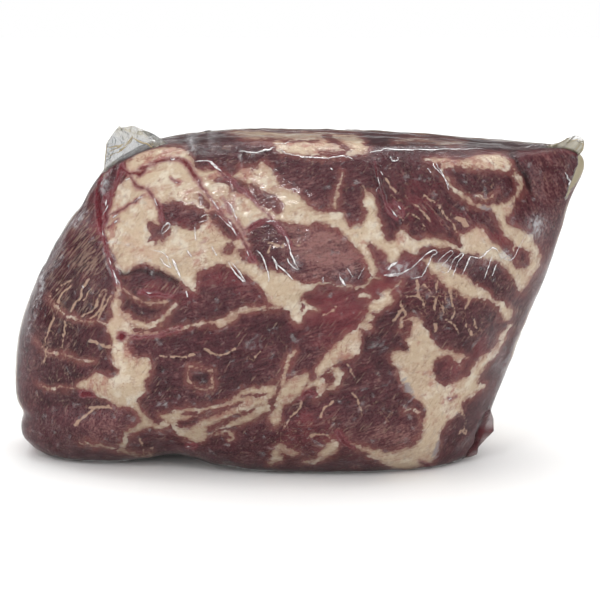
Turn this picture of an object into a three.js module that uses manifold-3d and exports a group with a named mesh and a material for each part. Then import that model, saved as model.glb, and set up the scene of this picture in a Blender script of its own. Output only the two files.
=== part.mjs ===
// A raw Boston butt, the upper half of a pork shoulder, shrunk tight in a clear vacuum bag.
// Millimetres, +Z up. The pack stands on its long narrow side, cut face towards -Y, and its
// origin is on the ground under the middle of its box. Bag and meat are one filled solid.

import * as THREE from "three";
import Module from "manifold-3d";

// Driving sizes
const LENGTH = 298; // along X, from the round left end to the drawn corner at top right
const HEIGHT = 169; // along Z, from the ground to the crown of the top
const DEPTH = 131; // along Y, from the cut face to the fat cap
const TO_CENTRE = { x: 1.6, y: -0.8 }; // from the drawing's middle to the middle of its box

// How fine the facets are, in cells along X, Y and Z
const BODY_CELLS = [46, 17, 28];
const FLAP_CELLS = [16, 1, 5];

// The block's rounding: a high power is a tight corner, a low one a full round
const OUTLINE_POWER = 9;
const FOOT_POWER = 4.5;
const CROWN_POWER = 6;

// Outlines of the block as [share from -1 to 1, mm drawn in from the driving size]
const LEFT_INSET = [
  [-1, 18], [-0.93, 9], [-0.85, 4.5], [-0.72, 3.5], [-0.5, 3], [-0.25, 4],
  [0, 8.5], [0.3, 19], [0.55, 30], [0.72, 39.5], [0.85, 43], [1, 46],
];
const RIGHT_INSET = [
  [-1, 49], [-0.85, 49], [-0.6, 45.5], [-0.3, 36.5], [0, 27.5], [0.25, 19],
  [0.5, 12.5], [0.75, 6], [1, -7],
];
const TOP_INSET = [
  [-1, 13], [-0.75, 4.5], [-0.5, 0.5], [-0.2, 0], [0.2, 1.5], [0.6, 5], [1, 7],
];
const FOOT_RISE = [
  [-1, -4], [-0.85, -4], [-0.7, -2], [-0.5, 1.5], [-0.4, 4], [-0.33, 4],
  [-0.2, 0], [0, -3], [0.4, -4], [0.8, -4], [1, -6],
];
const FRONT_INSET = [
  [-1, 34.5], [-0.7, 20.5], [-0.25, 6.5], [0.1, 0.5], [0.5, 2.5], [0.8, 14.5], [1, 36.5],
];
const BACK_INSET = [
  [-1, 22], [-0.6, 6], [0, 0], [0.5, 4], [0.8, 18], [1, 40],
];
const HALF_LENGTH = { left: LENGTH / 2 + 3, right: LENGTH / 2 - 3 };
const HALF_DEPTH = { front: DEPTH / 2 - 1, back: DEPTH / 2 + 0.5 };
const TOP_NARROWS = 0.3; // share of the depth lost at the crown
const FOOT_NARROWS = 0.12; // and at the foot

// The top right corner, where the bag is drawn out to its seal
const TAIL = { from: 0.62, over: 0.36, x: 5, z: 3, y: -6, flattens: 0.8 };

// Muscles that stand proud and folds that sink, at x and z on a face, mm in or out
const CUT_FACE_RELIEF = [
  { x: -32, z: 60, rx: 34, rz: 22, turn: 5, out: 4 },
  { x: 0, z: 114, rx: 28, rz: 17, turn: -15, out: 2.5 },
  { x: 40, z: 27, rx: 30, rz: 22, turn: 0, out: 3.5 },
  { x: 72, z: 78, rx: 26, rz: 20, turn: -20, out: 3 },
  { x: 10, z: 146, rx: 20, rz: 13, turn: 0, out: 2 },
  { x: 58, z: 140, rx: 24, rz: 15, turn: -35, out: 2.5 },
  { x: 95, z: 147, rx: 18, rz: 10, turn: 0, out: 2.5 },
  { x: 22, z: 76, rx: 12, rz: 24, turn: -15, out: 2.5 },
  { x: -120, z: 73, rx: 20, rz: 24, turn: 0, out: 3 },
  { x: -98, z: 24, rx: 28, rz: 11, turn: 10, out: 3.5 },
  { x: -66, z: 142, rx: 18, rz: 16, turn: 0, out: 3 },
  { x: -50, z: 95, rx: 26, rz: 11, turn: -15, out: 2.5 },
  { x: -84, z: 47, rx: 13, rz: 15, turn: 0, out: 2 },
  { x: -98, z: 122, rx: 10, rz: 32, turn: 3, out: -3 },
  { x: 20, z: 98, rx: 32, rz: 7, turn: 12, out: -2.5 },
  { x: -8, z: 40, rx: 44, rz: 7, turn: 22, out: -2.5 },
  { x: -112, z: 36, rx: 30, rz: 6, turn: 8, out: -3 },
  { x: 112, z: 148, rx: 7, rz: 16, turn: 28, out: -2.5 },
  { x: 78, z: 40, rx: 8, rz: 26, turn: -12, out: -2 },
];
const FAT_CAP_RELIEF = [
  { x: -60, z: 90, rx: 46, rz: 40, turn: 0, out: 4 },
  { x: 55, z: 80, rx: 42, rz: 46, turn: 0, out: 4 },
  { x: -4, z: 88, rx: 10, rz: 60, turn: 12, out: -3 },
  { x: 20, z: 126, rx: 60, rz: 9, turn: -4, out: -2.5 },
  { x: 92, z: 96, rx: 9, rz: 34, turn: -14, out: -2.5 },
  { x: -88, z: 48, rx: 34, rz: 8, turn: 18, out: -2.5 },
];
const END_CREASE = { x: -146, z: 24, rx: 16, rz: 5, in: 3 }; // where the left end sags over its foot

// Loose film: each flap runs from a root inside the pack to a free edge, as [x, z]
const FLAPS = [
  {
    // the stiff crumpled corner at top left
    root: [[-94, 140], [-88, 150], [-80, 156], [-70, 160], [-62, 162]],
    edge: [[-101, 147], [-100, 160], [-96, 170], [-86, 174.5], [-71, 168]],
    y: -10, leans: 6, waves: 2.5, wave: 2.2, thick: 1.6,
  },
  {
    // the gathered seal at top right, which runs on down the right-hand edge
    root: [[122, 162], [130, 161], [136, 158], [136, 146], [131, 134]],
    edge: [[127, 167.5], [137, 170], [146, 167], [142, 151], [137.5, 133]],
    y: -6, leans: 0, waves: 3.5, wave: 1.6, thick: 3,
  },
  {
    // the corner at lower right, where juice has run into the fold
    root: [[93, 36], [90, 26], [84, 18], [76, 12], [64, 8]],
    edge: [[99, 31], [102, 22], [97, 12.5], [88, 2.6], [70, 1.2]],
    y: -24, leans: 4, waves: 2, wave: 1.2, thick: 2.2,
  },
];
const FLAP_EDGE_SHARE = 0.6; // a flap's thickness at its free edge, as a share of that at its root

// A smooth step from 0 to 1.
function smooth(t) {
  const s = Math.min(1, Math.max(0, t));
  return s * s * (3 - 2 * s);
}

function mix(a, b, t) {
  return a + (b - a) * t;
}

// The slope of a run of points at number i, weighted by how far off its neighbours are.
function slopeAt(points, i) {
  const before = points[Math.max(0, i - 1)];
  const here = points[i];
  const after = points[Math.min(points.length - 1, i + 1)];
  if (before === here || after === here) return (after[1] - before[1]) / (after[0] - before[0]);
  const back = here[0] - before[0];
  const ahead = after[0] - here[0];
  const rise = (after[1] - here[1]) / ahead;
  const climb = (here[1] - before[1]) / back;
  return (back * rise + ahead * climb) / (back + ahead);
}

// A smooth curve through a few [position, value] points, flat beyond both ends.
function profile(points) {
  const slopes = points.map((_, i) => slopeAt(points, i));
  const last = points.length - 1;
  return (position) => {
    const x = Math.min(points[last][0], Math.max(points[0][0], position));
    let i = 0;
    while (i < last - 1 && x >= points[i + 1][0]) i += 1;
    const [[x0, y0], [x1, y1]] = [points[i], points[i + 1]];
    const step = x1 - x0;
    const t = (x - x0) / step;
    const hold = 2 * t ** 3 - 3 * t ** 2 + 1;
    return (
      hold * y0 + (1 - hold) * y1 +
      (t ** 3 - 2 * t ** 2 + t) * step * slopes[i] +
      (t ** 3 - t ** 2) * step * slopes[i + 1]
    );
  };
}

const leftInset = profile(LEFT_INSET);
const rightInset = profile(RIGHT_INSET);
const topInset = profile(TOP_INSET);
const footRise = profile(FOOT_RISE);
const frontInset = profile(FRONT_INSET);
const backInset = profile(BACK_INSET);

// How much of a mound is felt at a place on a face, from 0 to 1.
function mound(x, z, { x: cx, z: cz, rx, rz, turn = 0 }) {
  const angle = THREE.MathUtils.degToRad(turn);
  const along = ((x - cx) * Math.cos(angle) + (z - cz) * Math.sin(angle)) / rx;
  const across = (-(x - cx) * Math.sin(angle) + (z - cz) * Math.cos(angle)) / rz;
  return Math.exp(-(along ** 2) - across ** 2);
}

function relief(x, z, mounds) {
  return mounds.reduce((sum, m) => sum + m.out * mound(x, z, m), 0);
}

// The pack's surface for a point of the cube from -1 to 1.
function bodyPoint(cube) {
  const edgePower = mix(FOOT_POWER, CROWN_POWER, smooth((cube.z + 1) / 2));
  const outline = Math.abs(cube.x) ** OUTLINE_POWER + Math.abs(cube.z) ** OUTLINE_POWER;
  const size = (outline ** (edgePower / OUTLINE_POWER) + Math.abs(cube.y) ** edgePower) ** (1 / edgePower);
  const [a, b, c] = [cube.x / size, cube.y / size, cube.z / size];

  let x = mix(leftInset(c) - HALF_LENGTH.left, HALF_LENGTH.right - rightInset(c), (a + 1) / 2);
  let z = mix(footRise(a), HEIGHT - topInset(a), (c + 1) / 2);
  const narrowed = (1 - TOP_NARROWS * smooth((c - 0.1) / 0.9)) * (1 - FOOT_NARROWS * smooth((-c - 0.5) / 0.5));
  const frontY = (frontInset(a) - HALF_DEPTH.front) * narrowed;
  const backY = (HALF_DEPTH.back - backInset(a)) * narrowed;
  let y = mix(frontY, backY, (b + 1) / 2);

  const drawn = smooth((a - TAIL.from) / TAIL.over) * smooth((c - TAIL.from) / TAIL.over);
  x += drawn * TAIL.x;
  z += drawn * TAIL.z;
  y += drawn * (TAIL.y - y) * TAIL.flattens;
  x += END_CREASE.in * mound(x, z, END_CREASE) * smooth((-a - 0.5) / 0.5);

  const facing = smooth((Math.abs(b) - 0.55) / 0.4);
  y += facing * (b < 0 ? -relief(x, z, CUT_FACE_RELIEF) : relief(x, z, FAT_CAP_RELIEF));
  return new THREE.Vector3(x, y, Math.max(z, 0));
}

// A point of a flap: x runs along its root, z from the root to the free edge, y through it.
function flapPoint(flap) {
  const along = (points, k) => profile(points.map((p, i) => [i / (points.length - 1), p[k]]));
  const [rootX, rootZ, edgeX, edgeZ] = [
    along(flap.root, 0), along(flap.root, 1), along(flap.edge, 0), along(flap.edge, 1),
  ];
  return (cube) => {
    const [s, out] = [(cube.x + 1) / 2, (cube.z + 1) / 2];
    const ripple = flap.wave * out * Math.sin(2 * Math.PI * flap.waves * s);
    const half = (flap.thick / 2) * mix(1, FLAP_EDGE_SHARE, out);
    return new THREE.Vector3(
      mix(rootX(s), edgeX(s), out),
      flap.y + flap.leans * out + ripple + half * cube.y,
      mix(rootZ(s), edgeZ(s), out),
    );
  };
}

// A closed box of cells, each corner put where place() says.
function boxGeometry([nx, ny, nz], place) {
  const numbers = new Map();
  const positions = [];
  const faces = [];
  const corner = (i, j, k) => {
    const key = `${i} ${j} ${k}`;
    if (!numbers.has(key)) {
      numbers.set(key, numbers.size);
      const cube = new THREE.Vector3((2 * i) / nx - 1, (2 * j) / ny - 1, (2 * k) / nz - 1);
      positions.push(...place(cube).toArray());
    }
    return numbers.get(key);
  };
  const quad = (p, q, r, s) => faces.push(p, q, r, p, r, s);
  for (let i = 0; i < nx; i += 1) {
    for (let k = 0; k < nz; k += 1) {
      quad(corner(i, 0, k), corner(i + 1, 0, k), corner(i + 1, 0, k + 1), corner(i, 0, k + 1));
      quad(corner(i, ny, k), corner(i, ny, k + 1), corner(i + 1, ny, k + 1), corner(i + 1, ny, k));
    }
  }
  for (let j = 0; j < ny; j += 1) {
    for (let k = 0; k < nz; k += 1) {
      quad(corner(0, j, k), corner(0, j, k + 1), corner(0, j + 1, k + 1), corner(0, j + 1, k));
      quad(corner(nx, j, k), corner(nx, j + 1, k), corner(nx, j + 1, k + 1), corner(nx, j, k + 1));
    }
  }
  for (let i = 0; i < nx; i += 1) {
    for (let j = 0; j < ny; j += 1) {
      quad(corner(i, j, 0), corner(i, j + 1, 0), corner(i + 1, j + 1, 0), corner(i + 1, j, 0));
      quad(corner(i, j, nz), corner(i + 1, j, nz), corner(i + 1, j + 1, nz), corner(i, j + 1, nz));
    }
  }
  return new THREE.BufferGeometry()
    .setAttribute("position", new THREE.Float32BufferAttribute(positions, 3))
    .setIndex(faces);
}

const wasm = await Module();
wasm.setup();

function solidOf(geometry) {
  const vertProperties = geometry.attributes.position.array;
  const triVerts = new Uint32Array(geometry.index.array);
  return new wasm.Manifold(new wasm.Mesh({ numProp: 3, vertProperties, triVerts }));
}

function geometryOf(solid) {
  const { vertProperties, triVerts } = solid.getMesh();
  return new THREE.BufferGeometry()
    .setAttribute("position", new THREE.BufferAttribute(vertProperties, 3))
    .setIndex(new THREE.BufferAttribute(triVerts, 1));
}

// The meat in its bag, with the loose film at three corners joined on.
function vacuumPack() {
  let solid = solidOf(boxGeometry(BODY_CELLS, bodyPoint));
  for (const flap of FLAPS) solid = solid.add(solidOf(boxGeometry(FLAP_CELLS, flapPoint(flap))));
  const geometry = geometryOf(solid);
  geometry.translate(TO_CENTRE.x, TO_CENTRE.y, 0);
  geometry.computeVertexNormals();
  const material = new THREE.MeshStandardMaterial({ color: 0x76504f, roughness: 0.35, metalness: 0 });
  const mesh = new THREE.Mesh(geometry, material);
  mesh.name = "vacuum_pack";
  return mesh;
}

const pack = new THREE.Group();
pack.add(vacuumPack());

export default pack;
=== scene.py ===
# A raw Boston butt, the upper half of a pork shoulder, shrunk tight in a clear vacuum bag.
# The meat is one piece, the film round it another, and the film's loose corners are three more.

import math
from types import SimpleNamespace
import bpy
import numpy as np
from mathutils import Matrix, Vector, kdtree


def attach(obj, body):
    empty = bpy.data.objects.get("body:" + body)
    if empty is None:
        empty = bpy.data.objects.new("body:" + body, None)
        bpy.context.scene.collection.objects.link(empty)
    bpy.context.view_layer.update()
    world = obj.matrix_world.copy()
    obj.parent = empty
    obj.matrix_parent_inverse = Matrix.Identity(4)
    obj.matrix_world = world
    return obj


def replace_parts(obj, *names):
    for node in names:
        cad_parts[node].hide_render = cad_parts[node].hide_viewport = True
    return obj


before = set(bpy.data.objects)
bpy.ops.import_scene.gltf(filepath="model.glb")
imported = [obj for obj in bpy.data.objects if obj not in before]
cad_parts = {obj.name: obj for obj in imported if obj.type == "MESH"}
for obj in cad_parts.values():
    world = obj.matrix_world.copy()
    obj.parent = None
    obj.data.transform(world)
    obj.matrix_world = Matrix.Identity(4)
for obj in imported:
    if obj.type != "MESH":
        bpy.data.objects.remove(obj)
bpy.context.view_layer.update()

MM = 0.001

# Driving sizes in mm, as in the part's own source, with +Z up and the cut face towards -Y
LENGTH = 298
HEIGHT = 169
DEPTH = 131
TO_CENTRE = np.array([1.6, -0.8, 0.0])

# The block's rounding and outlines, as in the part: [share from -1 to 1, mm drawn in]
OUTLINE_POWER = 9
FOOT_POWER = 4.5
CROWN_POWER = 6
LEFT_INSET = [
    (-1, 18), (-0.93, 9), (-0.85, 4.5), (-0.72, 3.5), (-0.5, 3), (-0.25, 4),
    (0, 8.5), (0.3, 19), (0.55, 30), (0.72, 39.5), (0.85, 43), (1, 46),
]
RIGHT_INSET = [
    (-1, 49), (-0.85, 49), (-0.6, 45.5), (-0.3, 36.5), (0, 27.5), (0.25, 19),
    (0.5, 12.5), (0.75, 6), (1, -7),
]
TOP_INSET = [(-1, 13), (-0.75, 4.5), (-0.5, 0.5), (-0.2, 0), (0.2, 1.5), (0.6, 5), (1, 7)]
FOOT_RISE = [
    (-1, -4), (-0.85, -4), (-0.7, -2), (-0.5, 1.5), (-0.4, 4), (-0.33, 4),
    (-0.2, 0), (0, -3), (0.4, -4), (0.8, -4), (1, -6),
]
FRONT_INSET = [(-1, 34.5), (-0.7, 20.5), (-0.25, 6.5), (0.1, 0.5), (0.5, 2.5), (0.8, 14.5), (1, 36.5)]
BACK_INSET = [(-1, 22), (-0.6, 6), (0, 0), (0.5, 4), (0.8, 18), (1, 40)]
HALF_LENGTH = {"left": LENGTH / 2 + 3, "right": LENGTH / 2 - 3}
HALF_DEPTH = {"front": DEPTH / 2 - 1, "back": DEPTH / 2 + 0.5}
TOP_NARROWS = 0.3
FOOT_NARROWS = 0.12
TAIL = {"from": 0.62, "over": 0.36, "x": 5, "z": 3, "y": -6, "flattens": 0.8}
END_CREASE = (-146, 24, 16, 5, 0, 3)

# Muscles that stand proud and folds that sink: x, z, reach along, reach across, turn in degrees, mm out
CUT_FACE_RELIEF = [
    (-32, 60, 34, 22, 5, 4), (0, 114, 28, 17, -15, 2.5), (40, 27, 30, 22, 0, 3.5), (72, 78, 26, 20, -20, 3),
    (10, 146, 20, 13, 0, 2), (58, 140, 24, 15, -35, 2.5), (95, 147, 18, 10, 0, 2.5),
    (22, 76, 12, 24, -15, 2.5), (-120, 73, 20, 24, 0, 3), (-98, 24, 28, 11, 10, 3.5),
    (-66, 142, 18, 16, 0, 3), (-50, 95, 26, 11, -15, 2.5), (-84, 47, 13, 15, 0, 2),
    (-98, 122, 10, 32, 3, -3), (20, 98, 32, 7, 12, -2.5), (-8, 40, 44, 7, 22, -2.5),
    (-112, 36, 30, 6, 8, -3), (112, 148, 7, 16, 28, -2.5), (78, 40, 8, 26, -12, -2),
]
FAT_CAP_RELIEF = [
    (-60, 90, 46, 40, 0, 4), (55, 80, 42, 46, 0, 4), (-4, 88, 10, 60, 12, -3),
    (20, 126, 60, 9, -4, -2.5), (92, 96, 9, 34, -14, -2.5), (-88, 48, 34, 8, 18, -2.5),
]

# Loose film, as in the part: roots and free edges as (x, z), where it lies in y, and its waves
FLAPS = {
    "film_corner_top_left": {
        "root": [(-94, 140), (-88, 150), (-80, 156), (-70, 160), (-62, 162)],
        "edge": [
            (-101, 150), (-99.8, 164), (-95.3, 170.5), (-92.7, 173.6), (-91.5, 172.8), (-85, 174),
            (-77.5, 170.5), (-72, 167.7),
        ],
        "y": -10, "leans": 6, "waves": 2.5, "wave": 2.2, "thick": 0.5,
    },
    "film_seal_top_right": {
        "root": [(122, 162), (130, 161), (136, 158), (136, 146), (131, 134)],
        "edge": [
            (126.8, 164), (131, 165), (135, 166.5), (138.5, 168.5), (141.5, 169.4), (144.5, 168),
            (145.6, 164.8), (144.7, 161.5), (142.2, 159), (140.4, 154), (138.4, 145), (136.6, 134),
        ],
        "y": -6, "leans": 0, "waves": 6, "wave": 1.2, "thick": 1.2,
    },
    "film_corner_with_juice": {
        "root": [(93, 36), (90, 26), (84, 18), (76, 12), (64, 8)],
        "edge": [
            (97, 33), (99, 28), (100.6, 23), (100.7, 17), (96.7, 11.7), (93.1, 7.4), (92.5, 3.8), (84, 1.6),
            (70, 1.2),
        ],
        "y": -24, "leans": 4, "waves": 2, "wave": 1.2, "thick": 1.6,
    },
}

# How fine the dressed surface is, in cells, and how much finer it is on the cut face
SKIN_CELLS = (140, 50, 84)
CUT_FACE_FINER = 3

# The picture's view: the camera stands in front, 12 degrees up, and sees the cut face square on
CAMERA_LENS = 110
CAMERA_SENSOR = 36
CAMERA_UP = math.radians(12)
CAMERA_FROM = 960
CAMERA_AIM = np.array([0.0, 0.0, 82.0]) + TO_CENTRE
TO_CAMERA = np.array([0, -math.cos(CAMERA_UP), math.sin(CAMERA_UP)])
SHOWN_ABOVE = 0.02  # a place is in the picture where its surface faces the camera by more than this
PICTURE = 600
PIXEL_MM = 0.49  # what one of the picture's pixels covers on the cut face

FLOOR_HALF = 3.2  # in metres, as the lights are
FLAP_CELLS = (64, 2, 24)

# The film and the meat's surface, in mm out from the pack's own surface
FILM_OUT = 0.35
MEAT_IN = 0.45
MEAT_OFF_FLOOR = 0.3
FAT_PROUD = 0.35
MEAT_SINKS = 0.8  # in the dark between two folds
SOFT_CREASE_PROUD = 0.35
PLEAT_PROUD = 0.12
REACH_MM = 9  # a drawn edge is felt this far off
CREASE_SIDES = 6
CREASE_STEPS = 4
CREASE_WIDE = 0.95  # of the half width that the picture shows
CREASE_HIGH = 0.35  # of its own half width
CREASE_LIFT = 0.1
# How much the raised creases are painted in their tint; on the film's creases this is a painted highlight
CREASE_WHITE = 0.7

# Folds on the sides that the picture hides, in mm: how many groups, and how each fold runs
STRAY_SEED = 7
STRAY_GROUPS = 30
STRAY_APART = 4.5
STRAY_STEP = 2.2
STRAY_WANDER = 0.14
STRAY_LEAN = np.array([0.6, 0.4, -0.7])
STRAY_HALF_WIDE = (0.3, 0.65)
STRAY_LEAST_HEIGHT = 14
GLINT_CHANCE = 0.8  # a place on a juice fold shines where a number from -1 to 1 is above this

# Fibres rise a little along the middle, fall at the right and stand at the left end: degrees about Y
FIBRE_TURNS = (-16, 50, 34)

# How far drawn edges wander: lump in mm and swing in the picture's pixels
FAT_WANDERS = [(9, 1.4), (4, 1.3), (1.8, 0.8)]
FILM_WANDERS = [(6, 0.8), (2.5, 0.5)]

# Fat on the cut face, outlined in the picture's pixels
FAT_PATCHES = {
    "upper left mass": [
        (108, 214), (113, 196), (118, 186), (126, 178), (126, 166), (133, 158), (146, 151), (160, 148),
        (173, 146), (184, 149), (191, 158), (194, 167), (206, 171), (220, 171), (232, 176), (240, 168),
        (256, 168), (263, 163), (270, 167), (276, 178), (283, 187), (293, 191), (302, 198), (311, 206),
        (323, 211), (333, 212), (340, 213), (346, 223), (356, 232), (366, 240), (372, 248), (366, 250),
        (357, 249), (347, 238), (334, 229), (320, 223), (308, 225), (298, 225), (286, 222), (272, 220),
        (258, 220), (247, 226), (245, 236), (248, 246), (243, 252), (252, 263), (262, 271), (274, 270),
        (286, 273), (297, 280), (308, 285), (320, 283), (312, 291), (303, 296), (300, 304), (303, 313),
        (301, 322), (296, 323), (290, 315), (288, 309), (276, 308), (268, 303), (265, 294), (258, 285),
        (248, 277), (236, 270), (224, 264), (214, 268), (203, 269), (198, 274), (194, 284), (196, 293),
        (188, 286), (180, 281), (170, 276), (160, 270), (150, 265), (140, 264), (130, 268), (122, 275),
        (117, 264), (112, 250), (106, 240), (105, 226),
    ],
    "top of the pack": [
        (228, 131), (240, 130), (260, 131), (280, 132), (300, 131), (320, 131), (338, 134), (352, 134),
        (360, 137), (365, 143), (369, 148), (366, 152), (352, 155), (340, 155), (325, 157), (310, 156),
        (298, 154), (286, 152), (278, 150), (276, 146), (268, 142), (262, 139), (254, 139), (246, 137),
        (238, 134),
    ],
    "above the eye": [
        (425, 158), (440, 157), (460, 159), (478, 155), (490, 153), (500, 154), (508, 158), (511, 165),
        (512, 169), (500, 170), (485, 169), (470, 166), (455, 166), (440, 164), (430, 161),
    ],
    "middle band": [
        (352, 225), (362, 221), (367, 212), (362, 203), (363, 196), (368, 193), (373, 198), (376, 208),
        (380, 220), (382, 231), (387, 239), (394, 239), (399, 231), (404, 229), (408, 235), (413, 240),
        (424, 238), (438, 239), (450, 243), (461, 247), (462, 239), (459, 232), (463, 234), (470, 231),
        (478, 226), (485, 232), (494, 241), (503, 250), (511, 259), (518, 270), (521, 280), (520, 292),
        (516, 286), (511, 276), (505, 268), (497, 262), (486, 260), (478, 257), (470, 254), (462, 251),
        (450, 249), (438, 248), (428, 246), (420, 249), (414, 254), (406, 251), (400, 255), (396, 262),
        (390, 262), (386, 258), (382, 250), (374, 247), (368, 243), (370, 251), (375, 262), (378, 268),
        (376, 276), (370, 277), (367, 266), (360, 254), (352, 243), (344, 233),
    ],
    "right loop": [
        (491, 208), (500, 205), (511, 203), (515, 206), (513, 213), (507, 218), (512, 226), (522, 231),
        (531, 236), (537, 246), (540, 257), (538, 268), (531, 279), (524, 289), (520, 295), (517, 284),
        (511, 274), (505, 267), (498, 261), (504, 258), (512, 260), (518, 268), (521, 266), (517, 256),
        (512, 250), (514, 244), (508, 238), (502, 230), (497, 222), (494, 216),
    ],
    "diagonal band": [
        (420, 259), (428, 259), (436, 262), (444, 262), (449, 267), (455, 272), (462, 275), (470, 281),
        (480, 288), (488, 293), (495, 300), (502, 302), (510, 307), (512, 312), (510, 318), (504, 320),
        (500, 314), (496, 306), (490, 301), (480, 299), (470, 299), (463, 295), (456, 291), (448, 288),
        (442, 283), (436, 276), (428, 267),
    ],
    "upper knob": [
        (383, 291), (390, 290), (393, 297), (392, 304), (386, 309), (378, 312), (371, 313), (369, 306),
        (373, 301), (380, 298),
    ],
    "middle knob": [(366, 313), (374, 314), (375, 319), (370, 322), (365, 321)],
    "lower knob": [(360, 322), (368, 322), (373, 328), (368, 331), (361, 328)],
    "middle slope": [
        (352, 330), (358, 328), (361, 334), (360, 345), (358, 354), (350, 358), (340, 360), (333, 366),
        (326, 372), (319, 379), (315, 378), (318, 366), (325, 356), (334, 345), (342, 338),
    ],
    "grey tab": [(330, 368), (338, 368), (343, 378), (340, 386), (333, 390), (327, 388), (334, 382),
                 (335, 376)],
    "small fork": [
        (318, 379), (327, 382), (326, 390), (322, 396), (315, 400), (318, 392), (313, 388), (304, 392),
        (306, 386),
    ],
    "standing tongue": [
        (308, 375), (309, 382), (302, 391), (295, 398), (287, 404), (281, 412), (280, 420), (275, 427),
        (271, 422), (271, 413), (276, 405), (277, 396), (281, 388), (288, 382), (298, 377),
    ],
    "lower mass": [
        (158, 416), (170, 411), (186, 408), (200, 407), (214, 406), (226, 403), (234, 398), (243, 390),
        (258, 386), (279, 384), (275, 393), (268, 402), (270, 410), (262, 416), (254, 421), (242, 424),
        (232, 427), (222, 427), (212, 433), (202, 440), (194, 443), (186, 438), (178, 436), (172, 430),
        (167, 423),
    ],
    "bottom hook": [
        (268, 464), (277, 447), (283, 447), (290, 449), (300, 452), (293, 457), (288, 455), (281, 452),
        (283, 461), (274, 464),
    ],
    "bottom sliver": [
        (300, 463), (315, 460), (322, 450), (330, 443), (338, 439), (340, 444), (335, 452), (325, 458),
        (312, 464),
    ],
    "great fork": [
        (391, 358), (394, 351), (407, 350), (404, 341), (411, 334), (412, 325), (415, 318), (421, 320),
        (426, 328), (431, 336), (438, 346), (447, 350), (458, 352), (469, 357), (462, 360), (460, 368),
        (457, 362), (450, 357), (442, 358), (436, 362), (434, 370), (437, 378), (442, 384), (447, 387),
        (455, 383), (462, 380), (468, 377), (474, 367), (482, 358), (492, 350), (499, 340), (504, 331),
        (511, 322), (512, 326), (507, 336), (501, 346), (495, 356), (488, 364), (481, 375), (478, 384),
        (485, 383), (483, 388), (476, 392), (468, 399), (463, 405), (462, 411), (455, 417), (448, 425),
        (442, 433), (440, 445), (437, 456), (431, 464), (425, 466), (415, 470), (400, 470), (388, 469),
        (381, 463), (370, 457), (360, 452), (350, 446), (358, 446), (372, 450), (386, 451), (400, 450),
        (410, 447), (418, 441), (422, 432), (423, 420), (425, 411), (421, 403), (415, 400), (409, 393),
        (403, 384), (399, 373), (394, 364),
    ],
    "left column": [
        (113, 300), (121, 300), (123, 315), (130, 325), (133, 333), (128, 340), (125, 347), (131, 352),
        (136, 357), (145, 357), (151, 364), (150, 372), (146, 383), (144, 392), (139, 397), (138, 402),
        (145, 412), (150, 420), (158, 424), (165, 421), (170, 425), (160, 430), (150, 428), (140, 430),
        (133, 434), (127, 437), (125, 448), (119, 447), (121, 440), (128, 432), (137, 426), (141, 420),
        (136, 411), (130, 407), (121, 407), (113, 403), (104, 399), (97, 395), (90, 391), (79, 388),
        (80, 383), (88, 379), (96, 374), (104, 376), (113, 377), (117, 371), (115, 366), (113, 358),
        (111, 350), (112, 343), (110, 336), (106, 330), (108, 325), (112, 318),
    ],
}

# Muscle that shows within that fat
MEAT_ISLANDS = {
    "dark patch": [
        (158, 209), (168, 204), (175, 201), (183, 203), (188, 207), (193, 203), (199, 208), (206, 211),
        (208, 217), (203, 222), (200, 228), (190, 229), (180, 226), (170, 226), (160, 222),
    ],
    "star": [
        (147, 223), (152, 221), (157, 224), (163, 222), (168, 226), (170, 235), (165, 237), (163, 243),
        (160, 240), (157, 243), (155, 238), (149, 240), (152, 234), (148, 228),
    ],
    "wedge": [
        (212, 182), (220, 178), (232, 177), (241, 180), (247, 187), (250, 197), (243, 194), (236, 192),
        (230, 191), (226, 186), (219, 183),
    ],
    "dark band": [
        (248, 184), (255, 185), (263, 190), (272, 194), (279, 200), (283, 206), (279, 214), (274, 212),
        (268, 207), (260, 204), (255, 203), (250, 196),
    ],
    "under the fold": [
        (212, 212), (218, 211), (226, 222), (234, 230), (238, 236), (233, 243), (235, 246), (232, 253),
        (226, 253), (222, 251), (228, 244), (231, 240), (224, 236), (219, 230), (214, 222), (210, 216),
    ],
    "beside the fold": [(236, 251), (241, 249), (246, 254), (252, 262), (247, 261), (241, 258)],
    "sliver": [(197, 193), (202, 196), (208, 203), (212, 210), (206, 207), (201, 205), (198, 199)],
    "in the right loop": [(515, 247), (522, 248), (530, 253), (529, 262), (523, 269), (519, 262), (515, 254)],
    "in the middle band": [(368, 245), (376, 247), (383, 255), (385, 262), (381, 268), (377, 262),
                           (372, 256)],
    "long streak": [
        (172, 425), (190, 417), (205, 412), (222, 408.5), (232, 408), (216, 415), (200, 421), (184, 428),
    ],
    "short streak": [
        (205, 428), (220, 421), (234, 415), (250, 409), (262, 405), (250, 412), (236, 419), (222, 426),
        (210, 431),
    ],
    "streak in the lower mass": [(180, 414), (198, 411), (220, 408), (243, 402), (238, 406), (222, 412),
                                 (200, 417)],
    "upper streak": [(238, 398), (250, 395), (264, 393), (262, 396), (248, 398)],
    "vein end": [(119, 335), (123, 333), (126, 337), (124, 341), (120, 340)],
    "top wedge": [(322, 134), (329, 134), (338, 139), (347, 145), (352, 150), (343, 148), (334, 144),
                  (326, 140)],
    "top line": [(278, 138.6), (300, 139), (318, 139), (316, 141.4), (298, 141.4), (282, 141.4)],
    "top rose": [(318, 150), (335, 149.5), (350, 150), (350, 153), (340, 156), (324, 155.5)],
    "top shoulder": [(256, 140), (268, 137), (276, 139), (272, 143), (262, 144)],
}

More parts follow.
